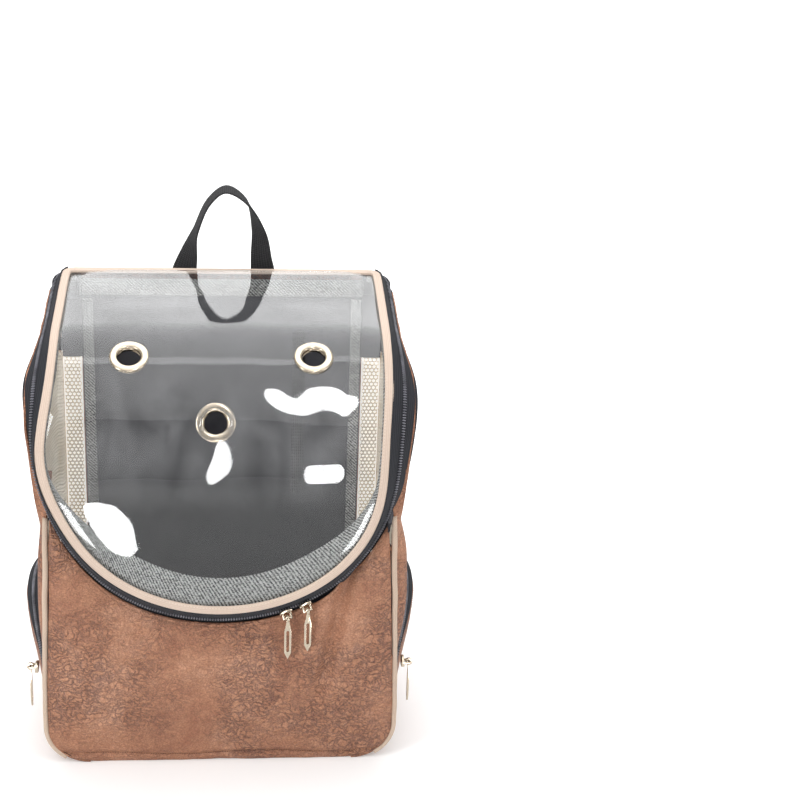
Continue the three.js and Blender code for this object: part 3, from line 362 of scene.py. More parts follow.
charcoal_lining = nylon("charcoal_lining", paint("#24232a"), paint("#38373e"))
heather_tape = heather("heather_tape", paint("#141515"), paint("#bdbeba"))
cream_mesh = nylon("cream_mesh", paint("#e2d3ba"), paint("#fbf3e4"))
print("cloth:", charcoal_lining.name, heather_tape.name, cream_mesh.name)

# %% [markdown]
# Nickel plate is a metal with faint smears in its gloss. The buckles are moulded plastic with a fine spark
# texture. The clear sheet is a thin pane: what it doesn't mirror goes straight through, so a Transparent
# shader and a glossy one are mixed, with more mirror at a grazing angle, and lamps can light what is inside.
# Where the sheet bends it is a little milky, so a touch of white is mixed in from the start of the bend.

# %% Metal, plastic and the clear sheet
def nickel_plate(name, colour):
    finish, tree, shader, place = start_finish(name)
    smear = fleck(tree, place, 260, 4, 0.6, 0.8)
    tone = ramp(tree, smear, [(0.3, tuple(c * 0.86 for c in colour[:3]) + (1,)), (0.7, colour)])
    tree.links.new(tone, shader.inputs["Base Color"])
    tree.links.new(spread(tree, smear, 0.12, 0.3), shader.inputs["Roughness"])
    shader.inputs["Metallic"].default_value = 1
    bumps(tree, shader, [(smear, 0.1, 0.0003)])
    return finish


def moulded(name, low, high):
    finish, tree, shader, place = start_finish(name)
    spark = fleck(tree, place, 1300, 2, 0.6)
    flow = fleck(tree, place, 70, 3, 0.6)
    tree.links.new(ramp(tree, flow, [(0.3, low), (0.7, high)]), shader.inputs["Base Color"])
    tree.links.new(spread(tree, spark, 0.22, 0.42), shader.inputs["Roughness"])
    bumps(tree, shader, [(spark, 0.12, 0.0002)])
    return finish


def clear_sheet(name):
    finish, tree, shader, place = start_finish(name)
    tree.nodes.remove(shader)
    haze = spread(tree, fleck(tree, place, 40, 4, 0.6), 0.012, 0.05, (0.35, 0.75))
    grazing = put(tree, "ShaderNodeLayerWeight", {"Blend": 0.5}).outputs["Facing"]
    mirror = spread(tree, sums(tree, "POWER", grazing, 5.0), 0.033, 1.0)
    through = put(tree, "ShaderNodeBsdfTransparent", {"Color": (0.955, 0.96, 0.965, 1)}).outputs["BSDF"]
    shine = put(tree, "ShaderNodeBsdfGlossy", {"Color": WHITE, "Roughness": haze}).outputs["BSDF"]
    height = put(tree, "ShaderNodeSeparateXYZ", {"Vector": place}).outputs["Z"]
    cloud = put(tree, "ShaderNodeBsdfDiffuse", {"Color": (0.93, 0.93, 0.95, 1)}).outputs["BSDF"]
    upright = put(tree, "ShaderNodeMapping", {"Vector": place, "Scale": (1.0, 1.0, 0.3)}).outputs["Vector"]
    streaks = spread(tree, fleck(tree, upright, 26, 3, 0.55, 0.8), 0.4, 1.6, (0.3, 0.7))
    bend = sums(tree, "MULTIPLY", spread(tree, height, 0.0, 0.052, (0.262, 0.312)), streaks)
    bend = sums(tree, "MULTIPLY", bend, spread(tree, height, 1.0, 0.3, (0.33, 0.385)))
    milky = put(tree, "ShaderNodeMixShader", {0: bend, 1: through, 2: cloud}).outputs["Shader"]
    pane = put(tree, "ShaderNodeMixShader", {0: mirror, 1: milky, 2: shine}).outputs["Shader"]
    tree.links.new(pane, tree.nodes["Material Output"].inputs["Surface"])
    return finish


nickel = nickel_plate("nickel", paint("#c2b5a2"))
buckle_plastic = moulded("buckle_plastic", paint("#26272a"), paint("#3a3b3f"))
clear_pvc = clear_sheet("clear_pvc")
print("hard finishes:", nickel.name, buckle_plastic.name, clear_pvc.name)

# %% [markdown]
# ## Shapes from grids
# A bag is made of sheets, so most pieces are grids of points given a wall thickness. The sizes are in
# millimetres as a pattern cutter would write them, and turn into metres when the mesh is made.

# %% Mesh helpers
MM = 0.001


def make_piece(name, points, faces, uv, finishes, marks=None):
    mesh = bpy.data.meshes.new(name)
    mesh.from_pydata((np.asarray(points) * MM).tolist(), [], faces)
    for finish in finishes:
        mesh.materials.append(finish)
    mesh.polygons.foreach_set("use_smooth", [True] * len(faces))
    if marks is not None:
        mesh.polygons.foreach_set("material_index", marks)
    if uv is not None:
        layer = mesh.uv_layers.new(name="strip")
        layer.data.foreach_set("uv", (np.asarray(uv, float) * MM).ravel())
    mesh.validate()
    piece = bpy.data.objects.new(name, mesh)
    bpy.context.collection.objects.link(piece)
    return piece


def settle(piece, slot, *nodes, body=BAG):
    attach(piece, body)
    if nodes:
        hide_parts(*nodes)
    size = [round(v * 1000) for v in piece.dimensions]
    print(piece.name, len(piece.data.polygons), "faces,", size, "mm")
    return piece


print("piece helpers ready")

# %% [markdown]
# A sheet of cloth or leather is a grid with a wall. Its outer face is the grid itself, its inner face lies a
# thickness below, and a rim joins the two wherever a cell has no neighbour. Solidify could do the same, but
# here the inner face can have a finish of its own and cells can be left out.

# %% Sheets with a wall
def grid_normals(points, inside):
    normals = np.cross(np.gradient(points, axis=0), np.gradient(points, axis=1))
    normals /= np.linalg.norm(normals, axis=2, keepdims=True) + 1e-12
    outward = np.sum(normals * (points - np.asarray(inside, float))) > 0
    return (normals if outward else -normals), outward


def shell(name, points, thick, finishes, inside=(0, 0, 200), keep=None):
    """A sheet with a wall: points is its outer face, and keep says which cells of the grid are there."""
    points = np.asarray(points, float)
    normals, outward = grid_normals(points, inside)
    rows, columns = points.shape[:2]
    index = np.arange(rows * columns).reshape(rows, columns)
    quads = np.stack([index[:-1, :-1], index[1:, :-1], index[1:, 1:], index[:-1, 1:]], axis=-1)
    cells = quads.reshape(-1, 4) if keep is None else quads[keep]
    if not outward:
        cells = cells[:, ::-1]
    count = rows * columns
    outer = [tuple(q) for q in cells.tolist()]
    inner = [tuple(count + k for k in reversed(q)) for q in outer]
    edges = {(q[k], q[(k + 1) % 4]) for q in outer for k in range(4)}
    rim = [(b, a, count + a, count + b) for a, b in sorted(edges) if (b, a) not in edges]
    faces = outer + inner + rim
    steps_u = np.linalg.norm(np.diff(points, axis=0), axis=2)
    steps_v = np.linalg.norm(np.diff(points, axis=1), axis=2)
    u = np.vstack([np.zeros((1, columns)), np.cumsum(steps_u, axis=0)])
    v = np.hstack([np.zeros((rows, 1)), np.cumsum(steps_v, axis=1)])
    flat = np.stack([u, v], axis=-1).reshape(-1, 2)
    uv = [flat[k % count] for face in faces for k in face]
    marks = [0] * len(outer) + [len(finishes) - 1] * len(inner) + [0] * len(rim)
    both = np.vstack([points.reshape(-1, 3), (points - normals * thick).reshape(-1, 3)])
    used = sorted({k for face in faces for k in face})
    place = {k: n for n, k in enumerate(used)}
    faces = [tuple(place[k] for k in face) for face in faces]
    return make_piece(name, both[used], faces, uv, finishes, marks)


print("sheet helper ready")

# %% [markdown]
# Cords, straps and bindings are tubes: the same ring of points at many places along a line, joined by faces.
# The UV map measures the way along and around, so that ribs keep their size on every strip.

# %% Tubes
def distances(points):
    """How far along a line each of its points is."""
    return np.concatenate([[0], np.cumsum(np.linalg.norm(np.diff(points, axis=0), axis=1))])


def tube(name, rings, finish, closed=False):
    """A skin over rings of points, closed round on itself or capped at both ends."""
    rings = np.asarray(rings, float)
    rows, around = rings.shape[:2]
    spans = rows if closed else rows - 1
    u = distances(rings.mean(axis=1))
    u = np.append(u, u[-1] + (u[-1] - u[-2] if closed else 0))
    v = distances(np.vstack([rings[0], rings[0][:1]]))
    faces, uv = [], []
    for i in range(spans):
        for j in range(around):
            a, b = i * around, ((i + 1) % rows) * around
            k = (j + 1) % around
            faces.append((a + j, a + k, b + k, b + j))
            uv += [(u[i], v[j]), (u[i], v[j + 1]), (u[i + 1], v[j + 1]), (u[i + 1], v[j])]
    middle = rings[spans // 2].mean(axis=0)
    p, q, r = (rings.reshape(-1, 3)[n] for n in faces[(spans // 2) * around][:3])
    turned = np.dot(np.cross(q - p, r - q), p - middle) < 0
    if turned:
        faces = [face[::-1] for face in faces]
        uv = [uv[4 * n + k] for n in range(len(faces)) for k in (3, 2, 1, 0)]
    if not closed:
        start, end = list(range(around)), [(rows - 1) * around + j for j in range(around)]
        for cap, flip in ((start, not turned), (end, turned)):
            faces.append(tuple(reversed(cap)) if flip else tuple(cap))
            uv += [(0, 0)] * around
    return make_piece(name, rings.reshape(-1, 3), faces, uv, [finish])


print("tube helper ready")

# %% [markdown]
# Nothing sewn is quite flat. Smooth noise moves a sheet in and out along its normals, in a large size and a
# finer one. Two small curves help with the shapes: a soft step and a bell.

# %% Crumples and soft steps
def rumple(places, fine, ratio):
    """Smooth noise at each place, with a finer one on top."""
    return np.array([noise.noise(Vector(p)) + fine * noise.noise(Vector(p) * ratio) for p in places])


def crumple(points, amount, size, seed, inside=(0, 0, 200), stretch=(1, 1, 1), fine=0.45):
    """Moves a grid in and out along its normals by smooth noise of a given size."""
    normals, _ = grid_normals(points, inside)
    scaled = points / (np.asarray(stretch, float) * size) + seed * 17.3
    lift = rumple(scaled.reshape(-1, 3), fine, 2.3)
    return points + normals * (lift.reshape(points.shape[:2]) * amount)[..., None]


def smooth(low, high, value):
    t = np.clip((np.asarray(value, float) - low) / (high - low), 0, 1)
    return t * t * (3 - 2 * t)


def bell(value, middle, width):
    return np.exp(-((value - middle) / width) ** 2)


print("shape helpers ready")

# %% [markdown]
# Straps and edges follow smooth curves through a few measured points. A centripetal curve passes through
# every point without overshooting, which is how webbing behaves between two places where it is held.

# %% Curves
def curve_through(points, ts):
    points = np.asarray(points, float)
    ends = np.vstack([2 * points[0] - points[1], points, 2 * points[-1] - points[-2]])
    spans = len(points) - 1
    result = []
    for t in np.clip(ts, 0, 1):
        i = min(int(t * spans), spans - 1)
        w = t * spans - i
        p0, p1, p2, p3 = ends[i:i + 4]
        d0, d1, d2 = (max(np.linalg.norm(b - a), 1e-8) ** 0.5 for a, b in ((p0, p1), (p1, p2), (p2, p3)))
        start = d1 * ((p1 - p0) / d0 - (p2 - p0) / (d0 + d1) + (p2 - p1) / d1)
        finish = d1 * ((p2 - p1) / d1 - (p3 - p1) / (d1 + d2) + (p3 - p2) / d2)
        result.append(p1 + start * w + (3 * (p2 - p1) - 2 * start - finish) * w ** 2
                      + (2 * (p1 - p2) + start + finish) * w ** 3)
    return np.array(result)


def between(wanted, places, rows):
    """Reads a table of rows, each of which belongs to a place, at other places."""
    return np.stack([np.interp(wanted, places, rows[:, k]) for k in range(rows.shape[1])], axis=-1)


def even_path(points, count):
    dense = curve_through(points, np.linspace(0, 1, 40 * len(points)))
    along = distances(dense)
    return between(np.linspace(0, along[-1], count), along, dense)


def unit(vectors):
    return vectors / (np.linalg.norm(vectors, axis=-1, keepdims=True) + 1e-12)


print("curve helpers ready")

# %% [markdown]
# A strap is given as places where it is held, each with the direction of its width. Its section is a flat
# strip with half-round edges, because woven edges are never sharp.

# %% Straps along a curve
def strap_rows(table, count):
    """Points, width directions and faces of a strap that is held at the table's places."""
    ts = np.linspace(0, 1, count)
    places = curve_through([place for place, _ in table], ts)
    tangents = unit(np.gradient(places, axis=0))
    across = curve_through([lean for _, lean in table], ts)
    across = unit(across - tangents * np.sum(across * tangents, axis=1, keepdims=True))
    return places, across, np.cross(tangents, across)


def strip_profile(width, thick, corner=0.45, steps=3):
    """Half-round edges on a flat strip, as points across and through it."""
    radius = thick / 2 * min(1, corner * 2)
    ring = []
    for cx, cy, start in ((1, 1, 0), (-1, 1, 90), (-1, -1, 180), (1, -1, 270)):
        for k in range(steps + 1):
            angle = math.radians(start + 90 * k / steps)
            ring.append((cx * (width / 2 - radius) + radius * math.cos(angle),
                         cy * (thick / 2 - radius) + radius * math.sin(angle)))
        if cy == 1 and cx == 1:
            ring += [(width * k, thick / 2) for k in (0.25, 0, -0.25)]
        if cy == -1 and cx == -1:
            ring += [(width * k, -thick / 2) for k in (-0.25, 0, 0.25)]
    return np.array(ring)


def ribbon(name, rows, width, thick, finish, **edges):
    places, across, face = rows
    ring = strip_profile(width, thick, **edges)
    rings = places[:, None] + across[:, None] * ring[None, :, :1] + face[:, None] * ring[None, :, 1:]
    return tube(name, rings, finish)


print("strap helpers ready")

# %% [markdown]
# ## Things that repeat: stitches, teeth and mesh
# What repeats is made by Geometry Nodes. Each tree takes a shape, a few numbers and a finish, and each ends
# in the same way. A base mesh is sent through the tree and the result is kept as a plain mesh.

# %% Trees and what they grow
def group_tree(name, numbers, out_name):
    tree = bpy.data.node_groups.new(name, "GeometryNodeTree")
    tree.interface.new_socket("Shape", in_out="INPUT", socket_type="NodeSocketGeometry")
    for label, value in numbers:
        tree.interface.new_socket(label, in_out="INPUT", socket_type="NodeSocketFloat").default_value = value
    tree.interface.new_socket("Finish", in_out="INPUT", socket_type="NodeSocketMaterial")
    tree.interface.new_socket(out_name, in_out="OUTPUT", socket_type="NodeSocketGeometry")
    return tree, put(tree, "NodeGroupInput").outputs


def end_tree(tree, given, shape, out_name):
    """Every tree ends alike: plain geometry, smooth, in the given finish."""
    whole = put(tree, "GeometryNodeRealizeInstances", {"Geometry": shape}).outputs["Geometry"]
    soft = put(tree, "GeometryNodeSetShadeSmooth", {"Geometry": whole}).outputs["Geometry"]
    dyed = put(tree, "GeometryNodeSetMaterial", {"Geometry": soft, "Material": given["Finish"]})
    put(tree, "NodeGroupOutput", {out_name: dyed.outputs["Geometry"]})
    return tree


def grown(name, base, tree, finish, **numbers):
    """Runs a node tree on a base mesh and keeps the result as a plain piece."""
    source = bpy.data.objects.new(name + "_source", base)
    bpy.context.collection.objects.link(source)
    modifier = source.modifiers.new("tree", "NODES")
    modifier.node_group = tree
    wanted = {**numbers, "Finish": finish}
    for item in tree.interface.items_tree:
        if item.in_out == "INPUT" and item.name in wanted:
            modifier[item.identifier] = wanted[item.name]
    result = bpy.data.meshes.new_from_object(source.evaluated_get(bpy.context.evaluated_depsgraph_get()))
    bpy.data.objects.remove(source)
    if not result.materials:
        result.materials.append(finish)
    piece = bpy.data.objects.new(name, result)
    bpy.context.collection.objects.link(piece)
    return piece


print("tree helpers ready")

# %% [markdown]
# Stitches and zip teeth are one small bead repeated along a line: the line is resampled at the pitch, a
# bead is put on each point and turned along the line. A line may carry a vector called face, and then the
# bead's height follows it.

# %% Beads on a line
def bead_tree():
    sizes = [("Pitch", 0.003), ("Length", 0.002), ("Width", 0.0005), ("Height", 0.0005)]
    tree, given = group_tree("beads_on_line", sizes, "Beads")
    line = put(tree, "GeometryNodeMeshToCurve", {"Mesh": given["Shape"]}).outputs["Curve"]
    points = put(tree, "GeometryNodeResampleCurve", {"Curve": line, "Length": given["Pitch"]},
                 mode="LENGTH").outputs["Curve"]
    bead = put(tree, "GeometryNodeMeshUVSphere", {"Segments": 6, "Rings": 4, "Radius": 0.5}).outputs["Mesh"]
    tangent = put(tree, "GeometryNodeInputTangent").outputs["Tangent"]
    turned = put(tree, "FunctionNodeAlignRotationToVector", {"Vector": tangent}, axis="X").outputs["Rotation"]
    face = put(tree, "GeometryNodeInputNamedAttribute", {"Name": "face"},
               data_type="FLOAT_VECTOR").outputs["Attribute"]
    stood = put(tree, "FunctionNodeAlignRotationToVector", {"Rotation": turned, "Vector": face},
                axis="Z", pivot_axis="X").outputs["Rotation"]
    size = put(tree, "ShaderNodeCombineXYZ",
               {"X": given["Length"], "Y": given["Width"], "Z": given["Height"]}).outputs["Vector"]
    placed = put(tree, "GeometryNodeInstanceOnPoints",
                 {"Points": points, "Instance": bead, "Rotation": stood, "Scale": size}).outputs["Instances"]
    return end_tree(tree, given, placed, "Beads")


beads = bead_tree()


def beads_along(name, lines, finish, pitch, length, width, height, faces=None):
    points, edges, normals = [], [], []
    for n, line in enumerate(lines):
        start = len(points)
        points += [tuple(p) for p in np.asarray(line) * MM]
        edges += [(start + k, start + k + 1) for k in range(len(line) - 1)]
        normals += [tuple(f) for f in faces[n]] if faces else []
    base = bpy.data.meshes.new(name)
    base.from_pydata(points, edges, [])
    if faces:
        base.attributes.new("face", "FLOAT_VECTOR", "POINT").data.foreach_set("vector", np.ravel(normals))
    return grown(name, base, beads, finish, Pitch=pitch * MM, Length=length * MM, Width=width * MM,
                 Height=height * MM)


print("tree:", beads.name, len(beads.nodes), "nodes")

# %% [markdown]
# ## The lid's shape
# The lid is a flat sheet bent over the bag's shoulder, so a place on it needs only the distance x from the
# middle and the distance s up the sheet. Its edge is drawn flat, with a round lower end, and then bent.
# Halfway up the front the sheet sags a little to the left.

# %% Lid geometry
LID_FRONT, LID_RISE, LID_RADIUS, LID_TURN, LID_HINGE = -124, 269, 130, math.radians(83), 110
LID_HALF, LID_CORNER, SWEEP_TOP, SWEEP_BOTTOM, SWEEP_POWER = 154, 12, 340, 160, 1.3
LID_END = (LID_RISE + LID_RADIUS * LID_TURN
           + (LID_HINGE - LID_FRONT - LID_RADIUS * (1 - math.cos(LID_TURN))) / math.sin(LID_TURN))
LEAN, LEAN_MORE_LEFT, LEAN_AT, LEAN_SPAN = 6, 2, 312, 52
ZIP_OUT, ZIP_OUT_SHOULDER, ZIP_OUT_CHIN, SHOULDER_AT, SHOULDER_SPAN = 8.5, 7, 3.5, 373, 55
BINDING_WIDTH, ZIP_WIDTH, ZIP_CLEAR = 8.4, 17, 1


def lid_point(x, s, lift=0.0):
    x, s, lift = np.broadcast_arrays(np.asarray(x, float), np.asarray(s, float), np.asarray(lift, float))
    turn = np.clip((s - LID_RISE) / LID_RADIUS, 0, LID_TURN)
    along = s - LID_RISE - turn * LID_RADIUS
    y = LID_FRONT + LID_RADIUS * (1 - np.cos(turn)) + along * np.sin(turn) - lift * np.cos(turn)
    z = LID_RISE + LID_RADIUS * np.sin(turn) + along * np.cos(turn) + lift * np.sin(turn)
    return np.stack([x, y, z], axis=-1)


def lid_lean(x, s):
    """How far the sheet sags over to the left. The zip's outer edge stays where it is."""
    return (LEAN - LEAN_MORE_LEFT * x / LID_HALF) * bell(s, LEAN_AT, LEAN_SPAN)


def lid_edge(count):
    corner = [math.radians(90) * (1 - k / 4) for k in range(5)]
    side, top = LID_HALF - LID_CORNER, LID_END - LID_CORNER
    flat = [(side + LID_CORNER * math.cos(a), top + LID_CORNER * math.sin(a)) for a in corner]
    flat.append((LID_HALF, (LID_END + SWEEP_TOP) / 2))
    for a in np.linspace(0, math.pi / 2, 25):
        fall = (SWEEP_TOP - SWEEP_BOTTOM) * math.sin(a) ** (1 / SWEEP_POWER)
        flat.append((LID_HALF * math.cos(a), SWEEP_TOP - fall))
    path = even_path(flat + [(-x, s) for x, s in reversed(flat[:-1])], count)
    path[:, 0] -= lid_lean(path[:, 0], path[:, 1])
    tangent = unit(np.gradient(path, axis=0))
    return {"x": path[:, 0], "s": path[:, 1], "out": np.stack([-tangent[:, 1], tangent[:, 0]], axis=1)}


def beside_edge(edge, outward, deep):
    return lid_point(edge["x"] + edge["out"][:, 0] * outward, edge["s"] + edge["out"][:, 1] * outward, -deep)


def zip_spread(edge):
    """How far the zip reaches out beyond the lid's edge, and how far down, at each place on the edge."""
    s = edge["s"]
    shoulder = ZIP_OUT_SHOULDER * bell(s, SHOULDER_AT, SHOULDER_SPAN)
    outward = ZIP_OUT + shoulder + ZIP_OUT_CHIN * (1 - smooth(170, 230, s))
    return outward + np.sign(edge["x"]) * lid_lean(edge["x"], s), np.sqrt(ZIP_WIDTH ** 2 - outward ** 2)


print("lid sheet is", round(LID_END - SWEEP_BOTTOM), "mm long and", 2 * LID_HALF, "mm wide")

# %% [markdown]
# ## The window
# Three eyelets let air through the clear sheet. Their holes are cut with a Boolean: a round punch stands on
# the sheet at each place, and what it covers is taken away.

# %% Punched holes
EYELETS = [("eyelet_left", -82, 60.9), ("eyelet_right", 82, 60.9), ("eyelet_middle", -5, 32.6)]


def eyelet_place(x, turn):
    place = lid_point(x, LID_RISE + LID_RADIUS * math.radians(turn))
    return Vector(place), Vector((0, -math.cos(math.radians(turn)), math.sin(math.radians(turn))))


def flatten(piece):
    """Applies a piece's modifiers, so that only its mesh is left."""
    result = bpy.data.meshes.new_from_object(piece.evaluated_get(bpy.context.evaluated_depsgraph_get()))
    piece.modifiers.clear()
    old, piece.data = piece.data, result
    result.name = piece.name
    bpy.data.meshes.remove(old)
    return piece


def cut_holes(piece, radius):
    wide = radius * MM
    for _, x, turn in EYELETS:
        place, normal = eyelet_place(x, turn)
        tool = bpy.data.meshes.new("punch")
        work = bmesh.new()
        bmesh.ops.create_cone(work, cap_ends=True, segments=40, radius1=wide, radius2=wide, depth=0.02)
        work.transform(Matrix.Translation(place * MM) @ normal.to_track_quat("Z", "Y").to_matrix().to_4x4())
        work.to_mesh(tool)
        work.free()
        punch = bpy.data.objects.new("punch", tool)
        bpy.context.collection.objects.link(punch)
        cut = piece.modifiers.new("cut", "BOOLEAN")
        cut.operation, cut.object, cut.solver = "DIFFERENCE", punch, "EXACT"
        flatten(piece)
        bpy.data.objects.remove(punch)


print("eyelets:", [name for name, _, _ in EYELETS])

# %% [markdown]
# The clear sheet is a grid bent over the shoulder and cut to the outline inside the binding. It is domed a
# little, dips towards its edge and is slightly uneven, which bends its reflections.

# %% Window
def make_window():
    edge = lid_edge(600)
    inset = BINDING_WIDTH - 1.2
    half = len(edge["x"]) // 2
    ss = (edge["s"] - edge["out"][:, 1] * inset)[:half]
    xs = (edge["x"] - edge["out"][:, 0] * inset)[:half]
    xs = xs + lid_lean(xs, ss)
    order = np.argsort(ss)
    rows = ss.min() + 0.3 + (ss.max() - ss.min() - 0.6) * np.linspace(0, 1, 230) ** 1.5
    widths = np.interp(rows, ss[order], xs[order])
    across = np.sin(np.linspace(-0.5, 0.5, 91) * math.pi)[None]
    x = widths[:, None] * across
    domed = 2.5 * (1 - across ** 2) * smooth(0, 60, rows[:, None] - rows[0])
    rim = np.interp(np.linspace(0, half - 1, 3000), np.arange(half), xs)
    rise = np.interp(np.linspace(0, half - 1, 3000), np.arange(half), ss)
    near = np.array([np.min(np.hypot(abs(line)[:, None] - rim, s - rise), axis=1)
                     for line, s in zip(x, rows)])
    lift = 0.5 + domed - 2.0 * np.exp(-near / 7.5)
    points = lid_point(x - lid_lean(x, rows[:, None]), rows[:, None], lift)
    points = crumple(points, amount=1.8, size=85, seed=19, fine=0.18)
    piece = shell("window_sheet", points, 1.0, [clear_pvc])
    cut_holes(piece, 11.6)
    return piece


settle(make_window(), "clear_pvc", "window")

# %% [markdown]
# An eyelet is a rolled metal ring with a barrel through the sheet and a washer behind. It is turned on a
# lathe in effect: a profile spun round its axis.

# %% Eyelets
def spun(name, profile, place, normal, finish, steps=56):
    turn = normal.to_track_quat("Z", "Y").to_matrix()
    rings = []
    for k in range(steps):
        angle = 2 * math.pi * k / steps
        c, s = math.cos(angle), math.sin(angle)
        rings.append([place + turn @ Vector((r * c, r * s, h)) for r, h in profile])
    return tube(name, rings, finish, closed=True)


def rolled_profile():
    roll = [(14.2 + 3.7 * math.cos(a), 1.0 + 1.7 * math.sin(a) ** 0.7) for a in np.linspace(0, math.pi, 11)]
    throat = [(10.2, 0.6), (10.0, -0.5), (10.1, -2.8), (10.6, -3.4)]
    washer = [(15.4, -3.5), (15.9, -3.0), (15.4, -2.4), (11.6, -2.3), (11.3, -1.6), (11.3, 0.6), (12.4, 0.9)]
    return roll + throat + washer


for eyelet, x, turn in EYELETS:
    place, normal = eyelet_place(x, turn)
    settle(spun(eyelet + "_ring", rolled_profile(), place, normal, nickel), "nickel", eyelet)

# %% [markdown]
# The cream tape is folded over the whole edge of the sheet and sewn down. Its section is a flat loop, swept
# round the edge and across the hinge. Inside it a heather tape hides the cut edges, wide at the bottom and
# narrow at the sides.

# %% Binding and inner tape
def closed_edge(count):
    edge = lid_edge(count)
    hinge = np.linspace(edge["x"][-1], edge["x"][0], 42)[1:-1]
    ahead = np.tile([0.0, 1.0], (len(hinge), 1))
    level = np.full(len(hinge), LID_END)
    return {"x": np.concatenate([edge["x"], hinge]), "s": np.concatenate([edge["s"], level]),
            "out": np.vstack([edge["out"], ahead])}


def make_binding():
    edge = closed_edge(260)
    ring = strip_profile(BINDING_WIDTH, 3.0, 0.4)
    rings = np.stack([beside_edge(edge, -BINDING_WIDTH / 2 + a, -b - 0.1) for a, b in ring], axis=1)
    return tube("window_binding_tape", rings, cream_tape, closed=True)


def make_inner_tape():
    edge = lid_edge(220)
    reach = 7 + 24 * (1 - smooth(170, 300, edge["s"]))
    bands = [beside_edge(edge, -2 - reach * k, 2.6 + 5 * k * k) for k in np.linspace(0, 1, 12)]
    points = crumple(np.stack(bands, axis=1), amount=0.8, size=30, seed=5)
    return shell("inner_edge_tape_cloth", points, 1.0, [heather_tape])


settle(make_binding(), "cream_tape", "window_binding")
settle(make_inner_tape(), "heather_tape", "inner_edge_tape")

# %% [markdown]
# The zip is a black tape that slants from the lid down to the body, with a nylon coil along its middle. The
# tape gathers a little near the hinge and stops just short of it. Two rows of teeth lock in the middle, so
# the beads are wide.

# %% Lid zip
TEETH = {"pitch": 2.4, "length": 1.5}
ZIP_TRIM = 3


def zip_place(edge, q, lift):
    outward, deep = zip_spread(edge)
    return beside_edge(edge, ZIP_CLEAR + outward * q + lift * deep / ZIP_WIDTH,
                       deep * q - lift * outward / ZIP_WIDTH)


def make_lid_zip():
    edge = {key: values[ZIP_TRIM:-ZIP_TRIM] for key, values in lid_edge(420).items()}
    gather = 0.9 * smooth(LID_END - 120, LID_END - 10, edge["s"]) * np.sin(edge["s"] * 0.75)
    bands = [zip_place(edge, q, 0.6 + gather * (1 - abs(2 * q - 1))) for q in np.linspace(-0.16, 1.24, 17)]
    tape = shell("lid_zip_tape", np.stack(bands, axis=1), 1.1, [black_zip])
    line = zip_place(edge, 0.5, 1.2 + gather)
    face = unit(zip_place(edge, 0.5, 2.0) - zip_place(edge, 0.5, 0.0))
    teeth = beads_along("lid_zip_teeth", [line], black_teeth, **TEETH, width=4.4, height=2.4, faces=[face])
    return tape, teeth


black_teeth = moulded("black_teeth", paint("#4c4c53"), paint("#85858e"))
lid_tape, lid_teeth = make_lid_zip()
settle(lid_tape, "black_zip", "lid_zip")
settle(lid_teeth, "black_zip")

# %% [markdown]
# ## The body's walls
# The front seam narrows towards the window and the back seam is nearly straight. Between them the side walls
# belly out. Every wall is leather outside and charcoal nylon inside, so each grid has two finishes.

# %% Outlines of the body
FRONT_SEAM_Y, BACK_SEAM_Y, BASE_HALF, WAIST_HALF, WAIST_Z = -112, 112, 160, 152, 264
CORNER_R, SIDE_SWELL, BACK_HALF, BACK_TOP, FRONT_SWELL = 38, 14, 158, 383, 9
POCKET_HALF, POCKET_RISE, POCKET_FRONT, POCKET_BACK, POCKET_BOTTOM, POCKET_SWELL = 100, 40, 88, 100, 41, 18
MESH_FRONT, MESH_BAND, MESH_FLANGE = -72, 62, 139
SIDES = [("right", 1), ("left", -1)]
WALL = [brown_leather, charcoal_lining]
FULL_SIDE = {1: 11, -1: 6}


def mix(a, b, t):
    return a + (b - a) * t


def seam_half(y, z):
    front = BASE_HALF - (BASE_HALF - WAIST_HALF) * np.maximum(np.asarray(z, float) / WAIST_Z, 0) ** 1.5
    return mix(front, BACK_HALF, (y - FRONT_SEAM_Y) / (BACK_SEAM_Y - FRONT_SEAM_Y))


def side_swell(y, z):
    return SIDE_SWELL * (1 - (y / BACK_SEAM_Y) ** 2) * smooth(CORNER_R, 130, z)


def pocket_crown(y):
    near = np.clip(y, -POCKET_HALF, POCKET_HALF) * 0.97
    end = mix(POCKET_FRONT, POCKET_BACK, (near + POCKET_HALF) / (2 * POCKET_HALF))
    return end + (POCKET_RISE + 9) * np.sqrt(1 - (near / (POCKET_HALF + 9.5)) ** 2)


print("seams:", FRONT_SEAM_Y, "to", BACK_SEAM_Y, "mm")

# %% [markdown]
# A side wall hangs from the outer edge of the zip. Each of its columns starts at a place on that edge and
# runs down to the pocket. Right and left are the same wall mirrored, apart from the fuller corner on the
# right.

# %% Upper edge of the sides
def side_tops(count):
    """Upper edge of a side wall, from the back corner to the front: the outer edge of the zip."""
    edge = lid_edge(count)
    outward, deep = zip_spread(edge)
    points = beside_edge(edge, outward + ZIP_CLEAR + 1.8, deep)
    chosen = points[(edge["x"] > 0) & (edge["s"] < LID_END - 16) & (edge["s"] > 300)]
    corner = np.array([BACK_HALF, BACK_SEAM_Y, BACK_TOP]) + [(-3, 5, 6), (2, 3.5, 7), (4, -1.5, 7)]
    return np.vstack([corner, chosen])


def side_point(top, z):
    plain = seam_half(top[1], z) + side_swell(top[1], z)
    reach = 1 - smooth(0, 90, top[2] - z)
    return np.array([mix(plain, top[0], reach), top[1], z])


def front_fullness(y, z, side):
    """How far the soft leather beside the front seam stands out, more so on the right."""
    above = smooth(95, 165, z)
    full = FULL_SIDE[side] * above + 2.5 * smooth(30, 60, z) * (1 - above)
    return full * bell(y, -97, 10) * (1 - smooth(205, 275, z))


def flip(points, side):
    return np.asarray(points, float) * np.array([side, 1, 1])


